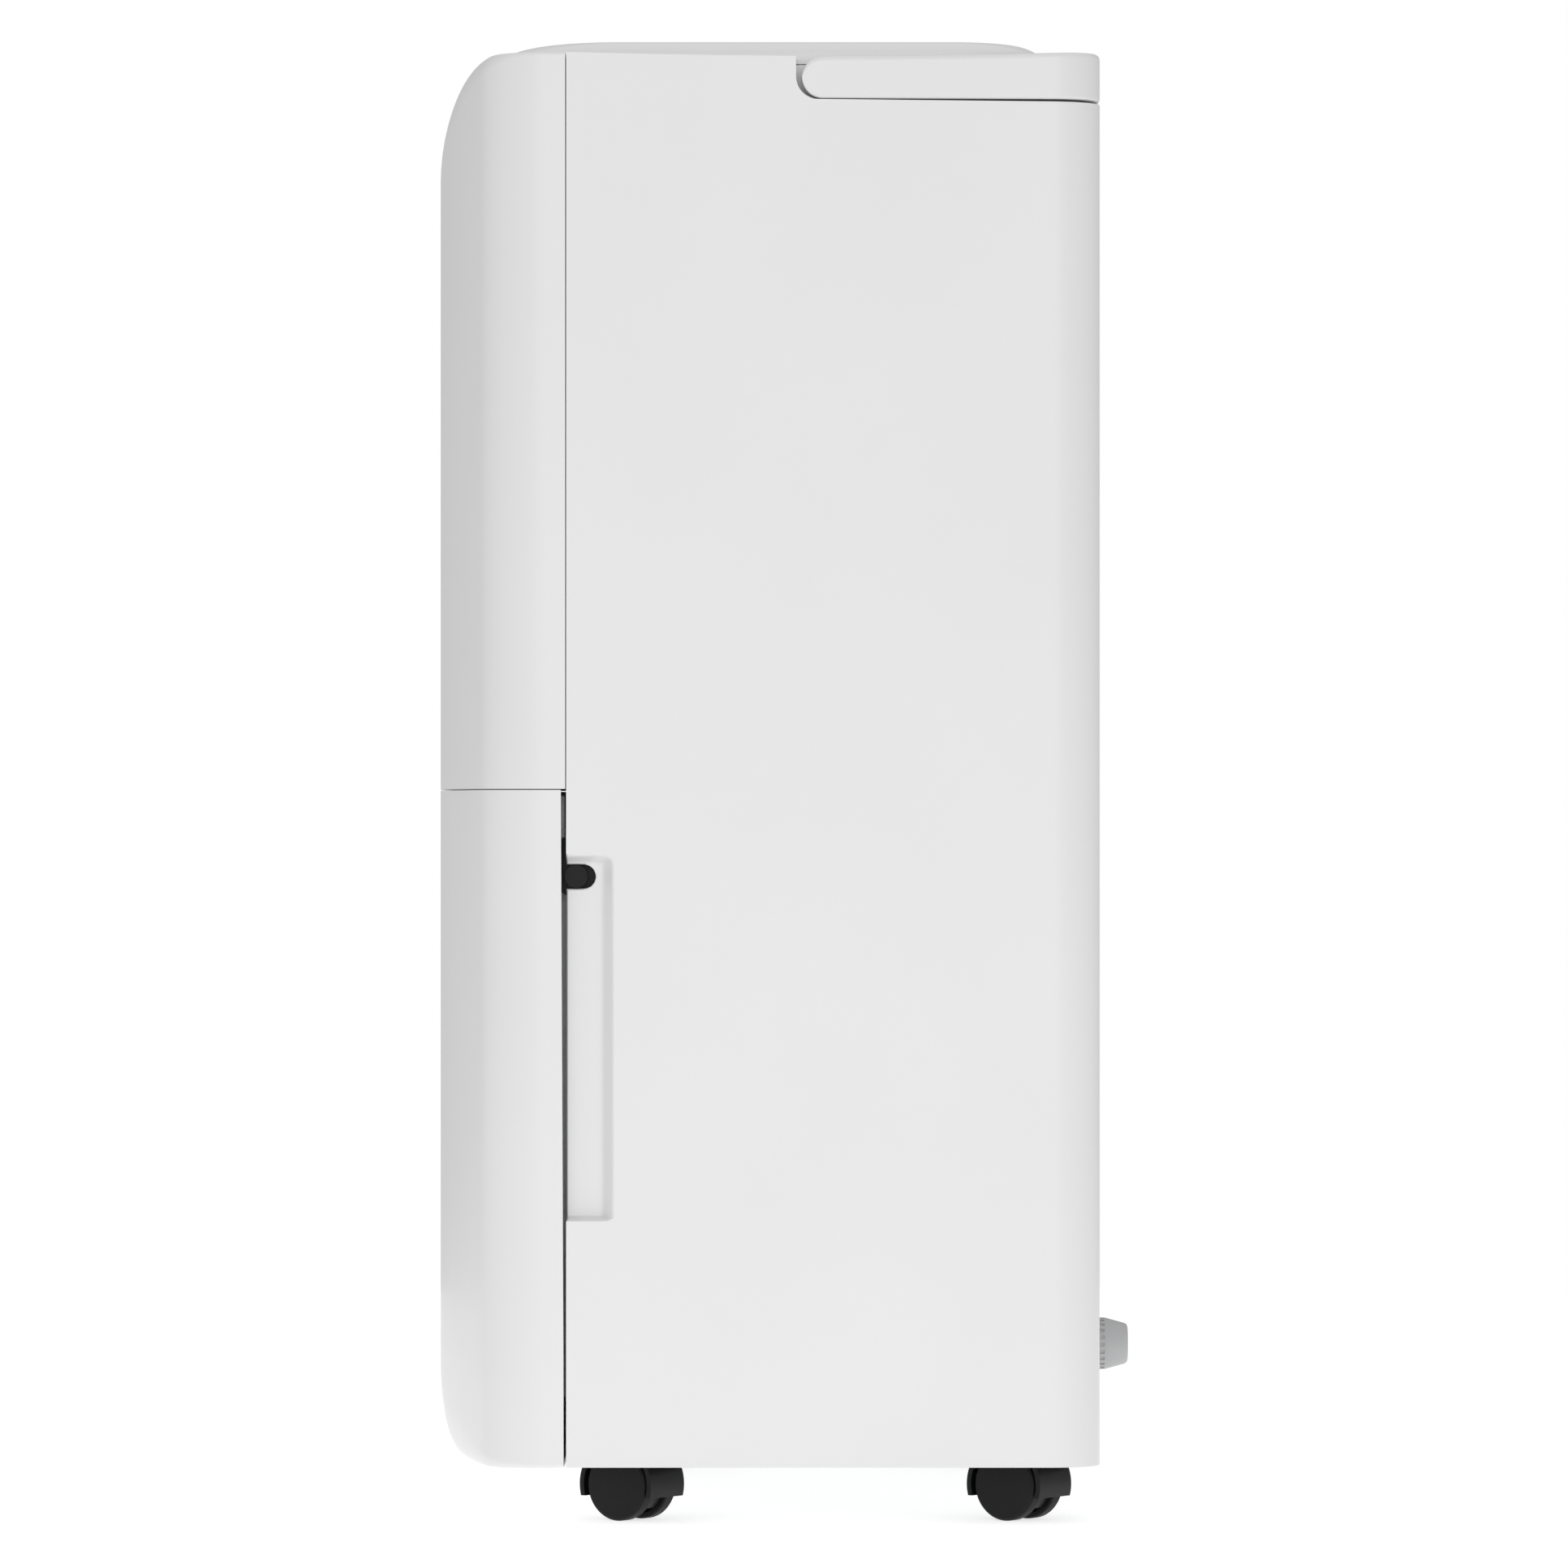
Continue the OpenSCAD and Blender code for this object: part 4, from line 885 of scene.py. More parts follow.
    def cut_window(self, mesh: bmesh.types.BMesh) -> None:
        """Opens the level window in the middle of the bucket's front."""
        for x in (-self.window_half, self.window_half):
            split(mesh, (x, 0, 0), (1, 0, 0))
        inside = [
            face
            for face in mesh.faces
            if abs(face.calc_center_median().x) < self.window_half
            and self.window_low < face.calc_center_median().z < self.window_high
        ]
        bmesh.ops.delete(mesh, geom=inside, context="FACES")

    def build(self) -> None:
        """Builds every front moulding."""
        self.upper_panel()
        self.panel_lip()
        self.bucket_front()
        dress("level_window", Slot.WINDOW, 0.3 * MM)


# ---------------------------------------------------------------- cabinet


@dataclass
class GripRecess:
    """The finger recess in one side wall, and the notch in its floor for the bail's boss."""

    side: int
    depth: float = 6 * MM
    back: float = 20.2 * MM
    low: float = 125.8 * MM
    high: float = 277.9 * MM
    back_slope: float = 5.3 * MM
    top_slope: float = 4.2 * MM
    low_slope: float = 1.9 * MM
    proud: float = 0.02 * MM
    margin: float = 0.3 * MM
    reach: float = 4 * MM
    notch_z: float = 268.4 * MM
    notch_back: float = 7.3 * MM
    notch_radius: float = 5.05 * MM
    rows: int = 96
    columns: int = 30

    def filler(self) -> bmesh.types.BMesh:
        """A block that fills the plain recess of the frame, flush with the side wall."""
        face, floor = self.side * BODY.half_width, self.side * (BODY.half_width - self.depth - BODY.wall)
        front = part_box("cabinet")[0].y
        back = BODY.seam_y + self.back + BODY.wall
        return block((face, front, self.low - BODY.wall), (floor, back, self.high + BODY.wall))

    def hollow(self) -> bmesh.types.BMesh:
        """A tool with the recess's soft slopes on its inner side."""
        mesh = bmesh.new()
        bmesh.ops.create_grid(mesh, x_segments=self.columns, y_segments=self.rows, size=1)
        front, back = BODY.seam_y - self.reach, BODY.seam_y + self.back + self.margin
        low, high = self.low - self.margin, self.high + self.margin
        for vert in mesh.verts:
            across, up = (math.sin(math.pi / 2 * share) / 2 + 0.5 for share in vert.co.xy)
            y, z = front + (back - front) * across, low + (high - low) * up
            ends = min((self.high - z) / self.top_slope, (z - self.low) / self.low_slope)
            sink = self.share((BODY.seam_y + self.back - y) / self.back_slope, ends)
            vert.co = (self.side * (BODY.half_width + self.proud - (self.depth + self.proud) * sink), y, z)
        grown = bmesh.ops.extrude_face_region(mesh, geom=mesh.faces[:])["geom"]
        for item in grown:
            if isinstance(item, bmesh.types.BMVert):
                item.co.x = self.side * (BODY.half_width + 2 * self.reach)
        return mesh

    def share(self, across: float, along: float) -> float:
        """Share of the full depth, with round corners between the slopes."""
        gone = [1 - min(1.0, max(0.0, part)) for part in (across, along)]
        return ease(1 - math.hypot(*gone))

    def notch(self) -> list[bmesh.types.BMesh]:
        """Tools that cut the notch: a straight run to the front and its round end."""
        centre = self.side * (BODY.half_width - self.depth)
        end = BODY.seam_y + self.notch_back
        run = block(
            (centre - self.reach, BODY.seam_y - self.reach, self.notch_z - self.notch_radius),
            (centre + self.reach, end, self.notch_z + self.notch_radius),
        )
        return [run, rod((centre, end, self.notch_z), self.notch_radius, 2 * self.reach)]


@dataclass
class Cabinet:
    """The wrap-round cabinet with its grip recesses."""

    edge: float = 0.35 * MM
    flat_angle: float = math.radians(0.1)
    sharp_angle: float = math.radians(40)

    def build(self) -> None:
        """Builds the cabinet's moulding."""
        mesh = merged_copy("cabinet")
        bmesh.ops.dissolve_limit(mesh, angle_limit=self.flat_angle, verts=mesh.verts, edges=mesh.edges)
        sharp = [edge for edge in mesh.edges if edge.is_manifold and edge.calc_face_angle() > self.sharp_angle]
        bmesh.ops.bevel(
            mesh, geom=sharp, offset=self.edge, segments=2,
            affect="EDGES", profile=0.5, material=-1, clamp_overlap=True,
        )
        piece = put(mesh, "cabinet_shell", Slot.BODY, "housing", ["cabinet"])
        for side in SIDES:
            recess = GripRecess(side)
            combine(piece, [(recess.filler(), Join.ADD)])
            combine(piece, [(recess.hollow(), Join.CUT)])
            combine(piece, [(tool, Join.CUT) for tool in recess.notch()])
        even_shading(piece)


# ---------------------------------------------------------------- top cover


@dataclass
class TopCover:
    """The raised plateau and the dipped deck round it."""

    rise: float = 6.5 * MM
    inset: float = 24 * MM
    rear: float = 23 * MM
    front: float = 31 * MM
    front_run: float = 27 * MM
    side_run: float = 7 * MM
    rear_run: float = 14.5 * MM
    corner: float = 34 * MM
    inner_corner: float = 24 * MM
    wall: float = 2.2 * MM
    deck_low: float = 605.3 * MM
    pocket: float = 13 * MM
    pocket_front: float = 6.8 * MM
    panel_gap: float = 0.15 * MM
    grille_gap: float = 0.25 * MM
    deck_gap: float = 0.2 * MM
    hole_margin: float = 1 * MM
    hole_corner: float = 30 * MM
    edge: float = 0.3 * MM
    steps: int = 10
    corner_steps: int = 10
    pocket_steps: int = 6
    deck_steps: int = 16
    first_turn: float = 0.02

    def ring(self, turn: float) -> list[Vector]:
        """One row of the plateau's skirt.

        Args:
            turn: Angle up the rounding, 0 at the foot and a quarter turn at the top.

        Returns:
            The points round the plateau.
        """
        half = BODY.half_width - self.inset
        front = (BODY.crown_y + self.front, self.front_run, -1)
        back = (BODY.back_y - self.rear, self.rear_run, 1)
        corners = [(1, *front), (1, *back), (-1, *back), (-1, *front)]
        share = 1 - math.cos(turn)
        z = BODY.top - BODY.sag * (turn <= 0) + self.rise * math.sin(turn)
        inner = half - self.side_run - self.inner_corner
        points = []
        for number, (sx, edge_y, run_y, sy) in enumerate(corners):
            start = -math.pi / 2 + number * math.pi / 2
            for step in range(self.corner_steps + 1):
                angle = start + math.pi / 2 * step / self.corner_steps
                out = Vector((math.cos(angle), math.sin(angle)))
                outer = Vector((sx * (half - self.corner), edge_y - sy * self.corner)) + self.corner * out
                centre = Vector((sx * inner, edge_y - sy * (run_y + self.inner_corner)))
                points.append(Vector((*outer.lerp(centre + self.inner_corner * out, share), z)))
        return points

    def plateau(self) -> bpy.types.Object:
        """The plateau with its openings for the control panel and the grille."""
        loft = Loft(closed=True)
        loft.station(self.ring(0.0))
        for step in range(self.steps + 1):
            loft.station(self.ring(self.first_turn + (math.pi / 2 - self.first_turn) * step / self.steps))
        loft.cap()
        for node, gap in (("control_panel", self.panel_gap), ("outlet_grille", self.grille_gap)):
            low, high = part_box(node)
            self.opening(loft.mesh, low.x - gap, high.x + gap, low.y - gap, high.y + gap)
        face_out(loft.mesh, Vector((0, 0, BODY.base)))
        piece = put(loft.mesh, "plateau", Slot.BODY, "housing", ["top_cover"])
        thicken(piece, self.wall)
        break_edges(piece, self.edge, 2)
        return piece

    def opening(self, mesh: bmesh.types.BMesh, x0: float, x1: float, y0: float, y1: float) -> None:
        """Cuts a rectangular opening through the plateau's top."""
        for x in (x0, x1):
            split(mesh, (x, 0, 0), (1, 0, 0))
        for y in (y0, y1):
            split(mesh, (0, y, 0), (0, 1, 0))
        inside = []
        for face in mesh.faces:
            middle = face.calc_center_median()
            if x0 < middle.x < x1 and y0 < middle.y < y1 and middle.z > BODY.top + 1 * MM:
                inside.append(face)
        bmesh.ops.delete(mesh, geom=inside, context="FACES")

    def deck(self) -> bpy.types.Object:
        """The deck between the plateau and the side walls, following their dipped edge."""
        mesh = bmesh.new()
        front, back = BODY.seam_y + self.deck_gap, BODY.back_y - self.pocket
        outline = self.mirrored(self.deck_edge(front, back)) + self.mirrored(self.hole_edge(front))[::-1]
        verts = [mesh.verts.new((p.x, p.y, BODY.top)) for p in outline]
        edges = [mesh.edges.new(pair) for pair in zip(verts, verts[1:] + verts[:1])]
        bmesh.ops.edgeloop_fill(mesh, edges=edges)
        for step in range(1, self.deck_steps):
            split(mesh, (0, front + (back - front) * step / self.deck_steps, 0), (0, 1, 0))
        face_out(mesh, Vector((0, 0, 0)))
        top = mesh.verts[:]
        grown = bmesh.ops.extrude_face_region(mesh, geom=mesh.faces[:])["geom"]
        for item in grown:
            if isinstance(item, bmesh.types.BMVert):
                item.co.z = BODY.sagged(item.co.y)
        for vert in top:
            vert.co.z = self.deck_low
        bmesh.ops.recalc_face_normals(mesh, faces=mesh.faces)
        piece = put(mesh, "top_deck", Slot.BODY, "housing")
        break_edges(piece, self.edge, 2)
        return piece

    def deck_edge(self, front: float, back: float) -> list[Vector]:
        """Right half of the deck's outer edge, from the front to the back.

        Args:
            front: Depth of its front edge.
            back: Depth of its back edge.

        Returns:
            The points in plan.
        """
        near, far = BODY.half_width - BODY.wall - self.deck_gap, BODY.half_width - self.pocket
        radius = BODY.rear_corner - self.pocket
        points = [Vector((near, front)), Vector((near, self.pocket_front)), Vector((far, self.pocket_front))]
        for step in range(self.pocket_steps + 1):
            angle = math.pi / 2 * step / self.pocket_steps
            out = Vector((math.cos(angle), math.sin(angle)))
            points.append(Vector((far - radius, back - radius)) + radius * out)
        return points

    def hole_edge(self, front: float) -> list[Vector]:
        """Right half of the deck's opening under the plateau, from the front to the back."""
        side = BODY.half_width - self.inset - self.hole_margin
        back = BODY.back_y - self.rear - self.hole_margin
        corner = self.hole_corner
        return [Vector((side, front)), Vector((side, back - corner)), Vector((side - corner, back))]

    def mirrored(self, points: Sequence[Vector]) -> list[Vector]:
        """A half outline followed by its mirror image, back to where it starts."""
        return [*points, *(Vector((-p.x, p.y)) for p in reversed(points))]

    def build(self) -> None:
        """Builds the plateau and the deck."""
        self.plateau()
        self.deck()


# ---------------------------------------------------------------- carry handle


@dataclass
class CarryHandle:
    """The U-shaped handle let into the top edge at the back."""

    thickness: float = 12 * MM
    height: float = 17.6 * MM
    pivot_y: float = 18 * MM
    pivot_z: float = 599.1 * MM
    drop: float = 0.4 * MM
    proud: float = 0.3 * MM
    top_outer: float = 2.4 * MM
    other: float = 1.3 * MM
    rise: float = 0.5
    most_round: float = 0.48
    # a black strip of painted shade behind the gap under the handle
    shade_strip_gap: float = 0.35 * MM
    shade_strip_thickness: float = 0.5 * MM
    shade_strip_below: float = 1.4 * MM
    shade_strip_above: float = 2.5 * MM
    tip_start: float = math.radians(6)
    tip_steps: int = 12
    arm_steps: int = 14
    corner_steps: int = 14
    bar_steps: int = 4
    fillet_steps: int = 5

    def section(self, place: Vector, out: Vector, low: float, high: float) -> list[Vector]:
        """One section across the handle.

        Args:
            place: Point on the outer face in plan.
            out: Outward direction in plan.
            low: Height of the underside.
            high: Height of the top.

        Returns:
            The points round the section.
        """
        most = self.most_round * (high - low)
        small, large = min(most, self.other), min(most, self.top_outer)
        fillets = (
            (small, small, low + small, 1.5 * math.pi),
            (large, large, high - large, math.pi),
            (small, self.thickness - small, high - small, 0.5 * math.pi),
            (small, self.thickness - small, low + small, 0.0),
        )
        points = []
        for radius, inward, z, start in fillets:
            for step in range(self.fillet_steps + 1):
                angle = start - math.pi / 2 * step / self.fillet_steps
                deep = inward + radius * math.cos(angle)
                points.append(Vector((*(place - out * deep), z + radius * math.sin(angle))))
        return points

    def stations(self) -> list[tuple[Vector, Vector, float, float]]:
        """Places along the right half, from the arm's tip to the middle of the back bar."""
        half, radius = BODY.half_width, self.height / 2
        side = Vector((1, 0))
        rows = []
        for step in range(self.tip_steps):
            angle = self.tip_start + (math.pi / 2 - self.tip_start) * step / self.tip_steps
            rise = radius * math.sin(angle)
            place = Vector((half, self.pivot_y - radius * math.cos(angle)))
            rows.append((place, side, self.pivot_z - rise, self.pivot_z + rise))
        turn_y = BODY.back_y - BODY.rear_corner
        for step in range(self.arm_steps):
            y = self.pivot_y + (turn_y - self.pivot_y) * step / self.arm_steps
            rows.append((Vector((half, y)), side, self.underside(y), self.topside(y)))
        centre = Vector((half - BODY.rear_corner, turn_y))
        for step in range(self.corner_steps + 1):
            angle = math.pi / 2 * step / self.corner_steps
            out = Vector((math.cos(angle), math.sin(angle)))
            place = centre + BODY.rear_corner * out
            rows.append((place, out, self.underside(place.y), self.topside(place.y)))
        for step in range(1, self.bar_steps + 1):
            place = Vector((centre.x * (1 - step / self.bar_steps), BODY.back_y))
            rows.append((place, Vector((0, 1)), self.underside(place.y), self.topside(place.y)))
        return rows

    def underside(self, y: float) -> float:
        """Height of the handle's underside at a depth."""
        return self.pivot_z - self.height / 2 - self.drop * (y - self.pivot_y) / (BODY.back_y - self.pivot_y)

    def topside(self, y: float) -> float:
        """Height of the handle's top at a depth."""
        arm = self.pivot_z + self.height / 2 + self.rise * max(0.0, y - self.pivot_y)
        return min(BODY.sagged(y) + self.proud, arm)

    def build(self) -> None:
        """Builds the handle."""
        half = self.stations()
        left = [
            (Vector((-place.x, place.y)), Vector((-out.x, out.y)), low, high)
            for place, out, low, high in reversed(half[:-1])
        ]
        piece = put(
            solid_loft([self.section(*row) for row in half + left]),
            "carry_handle_moulding", Slot.BODY, "handle", ["carry_handle"],
        )
        even_shading(piece)
        # a black strip of painted shade makes the gap under the handle dark
        self.painted_shade_strip(half + left)

    def painted_shade_strip(self, rows: list[tuple[Vector, Vector, float, float]]) -> None:
        """A black strip of painted shade on the pocket's inner wall, which darkens the gap under the handle.

        Args:
            rows: The handle's stations.
        """
        near, far = self.thickness + self.shade_strip_gap, self.thickness + self.shade_strip_gap + self.shade_strip_thickness
        sections = []
        for place, out, low, _ in rows:
            if place.y > self.pivot_y:
                floor, top = low - self.shade_strip_below, low + self.shade_strip_above
                corners = ((near, floor), (near, top), (far, top), (far, floor))
                sections.append([Vector((*(place - out * deep), z)) for deep, z in corners])
        # black plastic standing in for shade in the gap under the handle
        put(solid_loft(sections), "pocket_painted_shade", Slot.BLACK, "housing")


# ---------------------------------------------------------------- bucket seam


@dataclass
class SeamReturn:
    """The short return behind the top of the bucket's seam on both sides, in grey as painted shade for white
    plastic in shadow.
    """

    deep: float = 6 * MM
    thickness: float = 1.2 * MM
    low: float = 284.6 * MM
    behind: float = 0.5 * MM
    ahead: float = 6 * MM

    def build(self) -> None:
        """Builds both returns as one piece."""
        mesh = bmesh.new()
        for side in SIDES:
            x = side * (BODY.half_width - self.deep)
            add_block(
                mesh,
                (x - self.thickness / 2, BODY.seam_y - self.ahead, self.low),
                (x + self.thickness / 2, BODY.seam_y - self.behind, BODY.bucket_top - BODY.wall),
            )
        # the return wall is real, but its grey stands for white plastic in shadow: painted shade
        put(mesh, "seam_return", Slot.CAP, "bucket")


# ---------------------------------------------------------------- filter net


@dataclass
class FilterNet:
    """The woven net behind the filter's louvres."""

    pitch: float = 1.8 * MM
    thread: float = 0.34 * MM
    crimp: float = 0.6
    border: float = 2.4 * MM

    def build(self) -> None:
        """Builds the crossing threads and the net's rim as one piece."""
        low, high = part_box("filter_mesh")
        middle = (low.y + high.y) / 2
        mesh = bmesh.new()
        for axis, weave in ((0, 1), (2, -1)):
            count = int((high[axis] - low[axis] - 2 * self.border) / self.pitch)
            start = (high[axis] + low[axis] - count * self.pitch) / 2
            for number in range(count + 1):
                place = start + number * self.pitch
                first, last = Vector(low), Vector(high)
                first[axis], last[axis] = place - self.thread / 2, place + self.thread / 2
                first.y, last.y = middle, middle + weave * self.thread * self.crimp
                add_block(mesh, first, last)
        left, right = low.x + self.border, high.x - self.border
        foot, head = low.z + self.border, high.z - self.border
        for first, last in (
            (low, (high.x, high.y, foot)),
            ((low.x, low.y, head), high),
            ((low.x, low.y, foot), (left, high.y, head)),
            ((right, low.y, foot), (high.x, high.y, head)),
        ):
            add_block(mesh, first, last)
        put(mesh, "filter_net", Slot.MESH, "filter", ["filter_mesh"])


# ---------------------------------------------------------------- small marks


@dataclass
class ButtonMarks:
    """The plain signs on the push buttons."""

    lift: float = 0.05 * MM
    line: float = 0.55 * MM
    ring: float = 2.4 * MM
    row_gap: float = 1.5 * MM
    blade: float = 1.5 * MM
    bar_sweep: float = 12.0
    overlap: float = 1.12

    def bar(self, mesh: bmesh.types.BMesh, place: tuple, size: tuple, turn: float = 0.0) -> None:
        """Adds a flat bar.

        Args:
            mesh: The sign's mesh.
            place: The bar's middle in plan, from the button's middle.
            size: Its width and length.
            turn: Its turn about the middle in degrees.
        """
        made = bmesh.ops.create_cube(mesh, size=1)["verts"]
        bmesh.ops.scale(mesh, vec=(*size, 2 * self.lift), verts=made)
        bmesh.ops.translate(mesh, vec=(*place, 0), verts=made)
        bmesh.ops.rotate(mesh, matrix=Matrix.Rotation(math.radians(turn), 3, "Z"), verts=made)

    def circle(self, mesh: bmesh.types.BMesh, start: float = 0.0, sweep: float = 360.0) -> None:
        """Adds a ring, or part of one, between two angles in degrees."""
        steps = max(8, round(sweep / self.bar_sweep))
        length = 2 * self.ring * math.tan(math.radians(sweep / steps / 2)) * self.overlap
        for step in range(steps):
            self.bar(mesh, (self.ring, 0), (self.line, length), start + sweep * (step + 0.5) / steps)

    def wedge(self, mesh: bmesh.types.BMesh, turn: float) -> None:
        """Adds a triangle that points along a turned +Y."""
        made = bmesh.ops.create_cone(
            mesh, cap_ends=True, segments=3, radius1=self.ring, radius2=self.ring, depth=2 * self.lift
        )["verts"]
        bmesh.ops.rotate(mesh, matrix=Matrix.Rotation(math.radians(turn), 3, "Z"), verts=made)

    def draw(self, name: str, mesh: bmesh.types.BMesh) -> None:
        """Draws the sign of one button."""
        if name == "power":
            self.circle(mesh, 120, 300)
            self.bar(mesh, (0, self.ring * 0.8), (self.line, self.ring))
        elif name == "mode":
            for number, share in enumerate((2.0, 1.4, 0.8)):
                self.bar(mesh, (0, (1 - number) * self.row_gap), (self.ring * share, self.line))
        elif name == "fan":
            for number in range(3):
                self.bar(mesh, (0, self.ring * 0.6), (self.blade, self.ring), number * 120)
        elif name == "timer":
            self.circle(mesh)
            self.bar(mesh, (0, self.ring * 0.3), (self.line, self.ring * 0.9))
            self.bar(mesh, (self.ring * 0.3, 0), (self.ring * 0.6, self.line))
        else:
            self.wedge(mesh, 0 if name == "up" else 60)

    def build(self) -> None:
        """Builds the six signs."""
        for name in ("power", "mode", "fan", "up", "down", "timer"):
            low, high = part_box(f"button_{name}")
            mesh = bmesh.new()
            self.draw(name, mesh)
            middle = (low + high) / 2
            bmesh.ops.translate(mesh, vec=(middle.x, middle.y, high.z), verts=mesh.verts)
            put(mesh, f"sign_{name}", Slot.BLACK, f"press_{name}")


@dataclass
class LevelMarks:
    """The short level lines at the edge of the bucket's window."""

    count: int = 7
    long: float = 5 * MM
    short: float = 3 * MM
    line: float = 0.7 * MM
    lift: float = 0.08 * MM
    margin: float = 1.2 * MM

    def build(self) -> None:
        """Builds the lines, every third one long."""
        low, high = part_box("level_window")
        mesh = bmesh.new()
        for number in range(self.count):
            z = low.z + (high.z - low.z) * (number + 1) / (self.count + 1)
            length = self.short if number % 3 else self.long
            x = low.x + self.margin
            add_block(
                mesh,
                (x, low.y - self.lift, z - self.line / 2),
                (x + length, low.y + self.lift, z + self.line / 2),
            )
        put(mesh, "level_marks", Slot.BUTTON, "bucket")


@dataclass
class RearScrews:
    """The case screws, with cross recesses in their heads."""

    slot_width: float = 0.9 * MM
    slot_length: float = 3.6 * MM
    slot_depth: float = 1.1 * MM

    def build(self) -> None:
        """Builds the screws."""
        mesh = merged_copy("rear_screws")
        face = max(vert.co.y for vert in mesh.verts)
        middle = sum(point.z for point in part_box("rear_screws")) / 2
        heads: dict[tuple[bool, bool], list[Vector]] = {}
        for vert in mesh.verts:
            heads.setdefault((vert.co.x > 0, vert.co.z > middle), []).append(vert.co.copy())
        piece = put(mesh, "case_screws", Slot.STEEL, "housing", ["rear_screws"])
        tools = []
        for points in heads.values():
            x = (min(p.x for p in points) + max(p.x for p in points)) / 2
            z = (min(p.z for p in points) + max(p.z for p in points)) / 2
            for wide, tall in ((self.slot_length, self.slot_width), (self.slot_width, self.slot_length)):
                low = (x - wide / 2, face - self.slot_depth, z - tall / 2)
                high = (x + wide / 2, face + self.slot_depth, z + tall / 2)
                tools.append((block(low, high), Join.CUT))
        combine(piece, tools)
        even_shading(piece)


# ---------------------------------------------------------------- studio


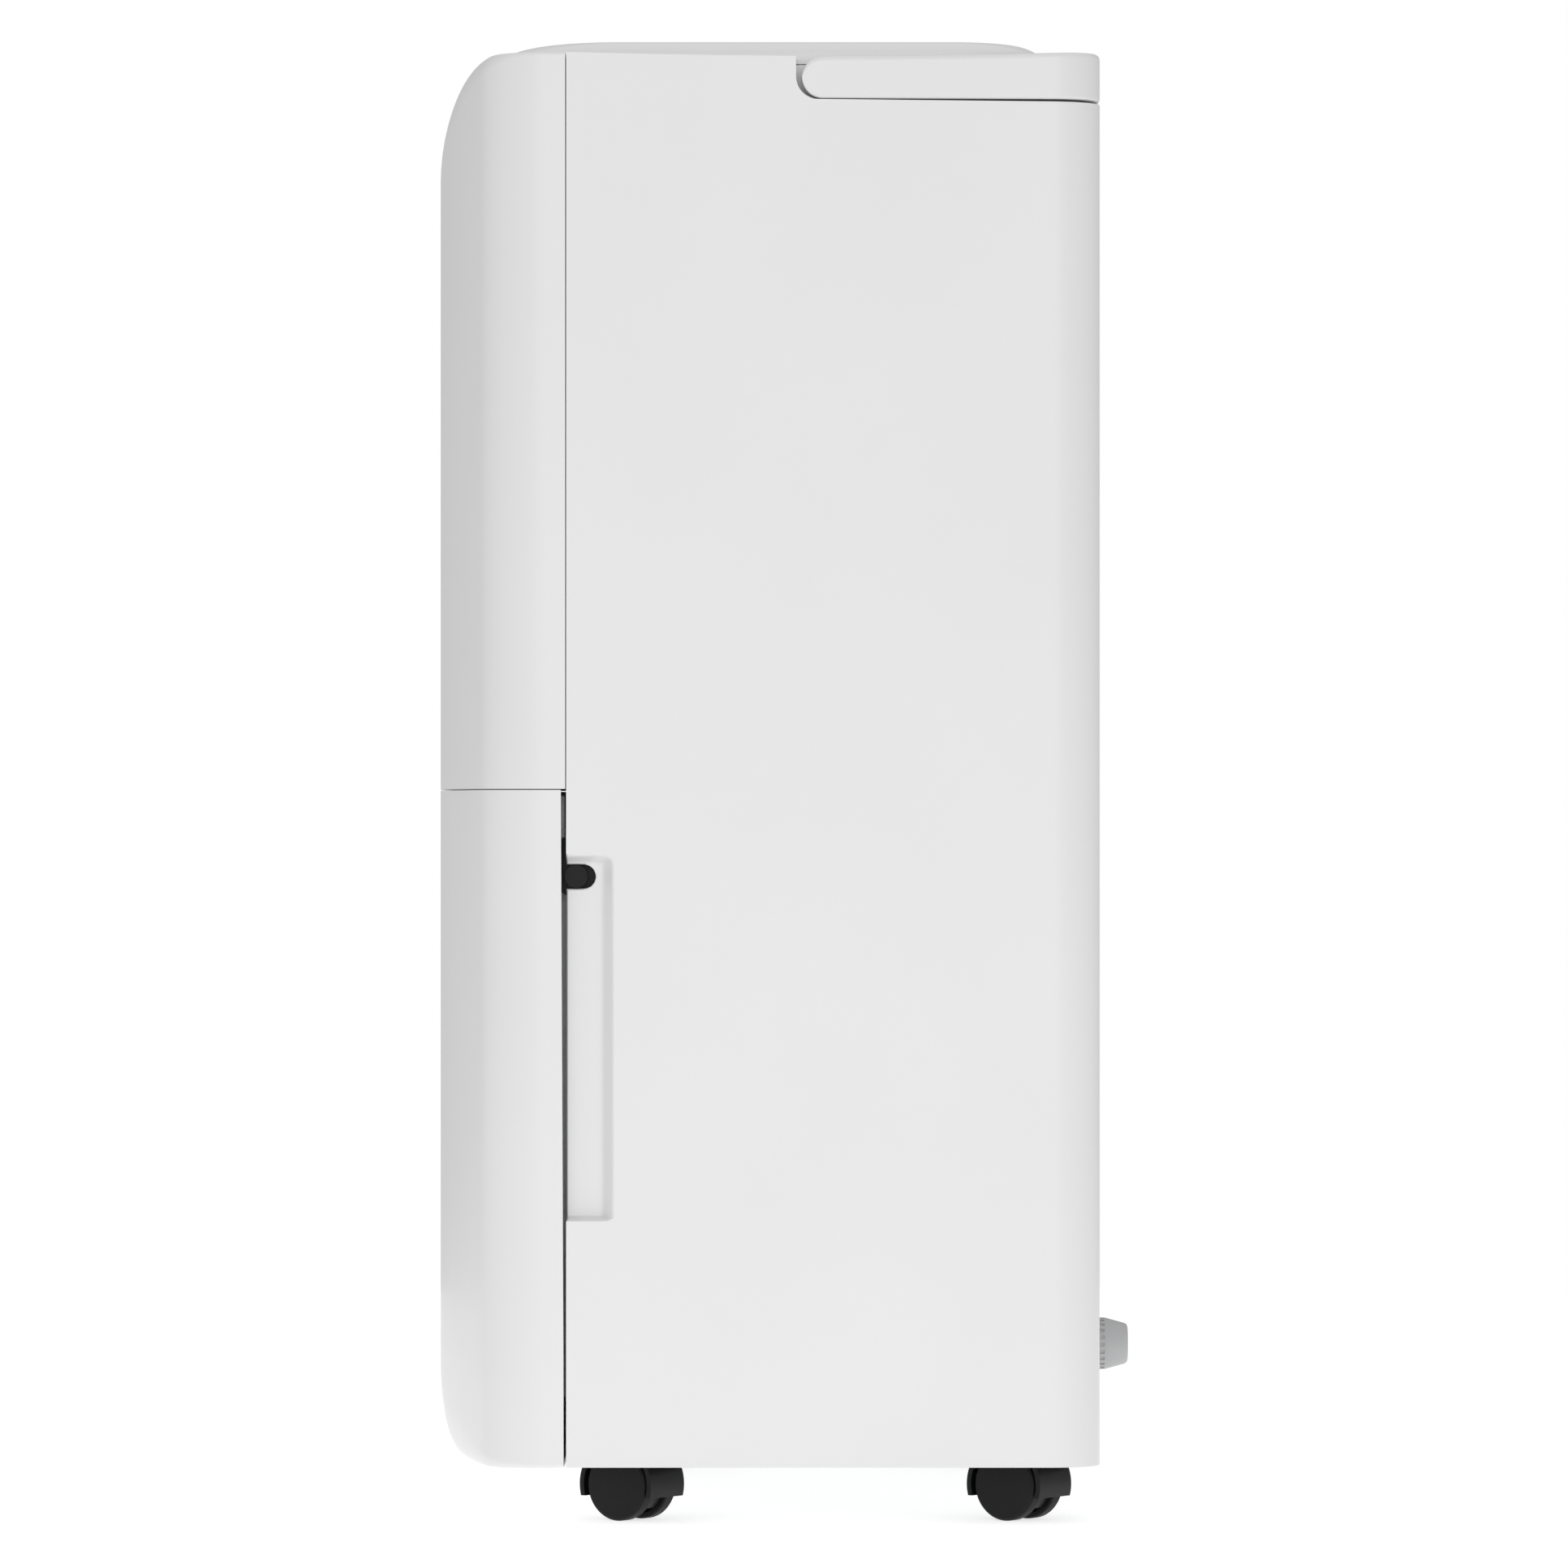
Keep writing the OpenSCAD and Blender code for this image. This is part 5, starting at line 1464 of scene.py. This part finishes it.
@dataclass
class Studio:
    """Pale floor, soft lights and the camera."""

    camera_place: tuple[float, float, float] = (3.996, 0.0018, 0.2953)
    lens: float = 211.0
    sensor: float = 36.0
    upward_shift: float = 34 / 1932
    far_clip: float = 60.0
    floor_radius: float = 1.7
    surround: float = 0.5
    floor_glow: float = 0.72
    key_power: float = 21.0
    ceiling_power: float = 14.0

    def camera(self) -> None:
        """Looks along -X at the right-hand side, level, from the height of the body's middle."""
        data = bpy.data.cameras.new("camera")
        data.lens = self.lens
        data.sensor_width = self.sensor
        data.shift_y = self.upward_shift
        data.clip_end = self.far_clip
        eye = bpy.data.objects.new("camera", data)
        eye.location = self.camera_place
        eye.rotation_euler = (math.pi / 2, 0, math.pi / 2)
        bpy.context.scene.collection.objects.link(eye)
        bpy.context.scene.camera = eye

    def floor(self) -> None:
        """A wide pale floor."""
        mesh = bmesh.new()
        bmesh.ops.create_circle(mesh, cap_ends=True, segments=96, radius=self.floor_radius)
        data = bpy.data.meshes.new("floor")
        mesh.to_mesh(data)
        mesh.free()
        tree = Tree("pale_floor")
        tree.constants(Roughness=0.9, Specular_IOR_Level=0.1)
        tree.constants(Emission_Color=(1, 1, 1, 1), Emission_Strength=self.floor_glow)
        greys = [(0.3, (0.53, 0.53, 0.53)), (0.7, (0.55, 0.55, 0.55))]
        tree.feed(tree.blend(tree.noise(300 * MM), greys), "Base Color")
        data.materials.append(tree.material)
        floor = bpy.data.objects.new("floor", data)
        bpy.context.scene.collection.objects.link(floor)

    def softbox(self, name: str, place: tuple, target: tuple, size: float, watts: float) -> None:
        """One square area light.

        Args:
            name: The light's name.
            place: Where it hangs.
            target: The point that it faces.
            size: Length of its sides in metres.
            watts: Its power.
        """
        data = bpy.data.lights.new(name, "AREA")
        data.shape = "SQUARE"
        data.size = size
        data.energy = watts
        lamp = bpy.data.objects.new(name, data)
        lamp.location = place
        lamp.rotation_euler = (Vector(target) - Vector(place)).to_track_quat("-Z", "Y").to_euler()
        bpy.context.scene.collection.objects.link(lamp)

    def world(self) -> None:
        """White backdrop, and a dimmer even light all round."""
        world = bpy.data.worlds.new("studio")
        world.use_nodes = True
        nodes, links = world.node_tree.nodes, world.node_tree.links
        path = nodes.new("ShaderNodeLightPath")
        level = nodes.new("ShaderNodeMapRange")
        level.inputs["To Min"].default_value = self.surround
        level.inputs["To Max"].default_value = 1.0
        links.new(path.outputs["Is Camera Ray"], level.inputs["Value"])
        links.new(level.outputs["Result"], nodes["Background"].inputs["Strength"])
        nodes["Background"].inputs["Color"].default_value = (1, 1, 1, 1)
        bpy.context.scene.world = world

    def build(self) -> None:
        """Sets up the camera, the floor, the surround and the lights."""
        self.camera()
        self.floor()
        self.world()
        self.softbox("key", (3.0, -0.1, 1.1), (0, 0, 0.3), 2.4, self.key_power)
        self.softbox("ceiling", (0, 0, 2.6), (0, 0, 0), 3.6, self.ceiling_power)
        view = bpy.context.scene.view_settings
        view.view_transform = "Standard"
        view.look = "None"


NODE_SLOTS = {
    Slot.GRILLE: ["outlet_grille", "filter_frame"],
    Slot.PANEL: ["control_panel"],
    Slot.BUTTON: ["button_power", "button_mode", "button_fan", "button_up", "button_down", "button_timer"],
    Slot.DISPLAY: ["display_window"],
    Slot.INNER: ["base_pan", "bulkhead", "drip_tray", "fan_scroll", "drain_spout"],
    Slot.FAN: ["fan_wheel"],
    Slot.TUB: ["bucket_tub", "bucket_lid"],
    Slot.FLOAT: ["bucket_float"],
    Slot.BLACK: ["bucket_bail", "float_sensor", "cord_bushing"],
    Slot.STEEL: ["handle_pins", "float_pin", "bail_pins"],
    Slot.FINS: ["evaporator_fins", "condenser_fins"],
    Slot.COPPER: ["coil_tubes", "refrigerant_pipes"],
    Slot.PAINT: ["compressor"],
    Slot.MOTOR: ["fan_motor"],
    Slot.MOUNT: ["compressor_mounts", "drain_cap_washer"],
    Slot.BOARD: ["control_board"],
    Slot.CAN: ["run_capacitor"],
    Slot.CAP: ["drain_cap"],
}


def main() -> None:
    """Builds every sub-assembly in order, the studio last."""
    logging.basicConfig(level=logging.INFO, format="%(name)s: %(message)s")
    Front().build()
    Cabinet().build()
    TopCover().build()
    CarryHandle().build()
    SeamReturn().build()
    FilterNet().build()
    ButtonMarks().build()
    LevelMarks().build()
    RearScrews().build()
    for slot, nodes in NODE_SLOTS.items():
        for node in nodes:
            dress(node, slot)
    for corner in ("fl", "fr", "rl", "rr"):
        dress(f"caster_{corner}_hood", Slot.BLACK)
        dress(f"caster_{corner}_pins", Slot.STEEL)
        dress(f"caster_{corner}_wheel_in", Slot.WHEEL)
        dress(f"caster_{corner}_wheel_out", Slot.WHEEL)
    Studio().build()


if __name__ == "__main__":
    main()
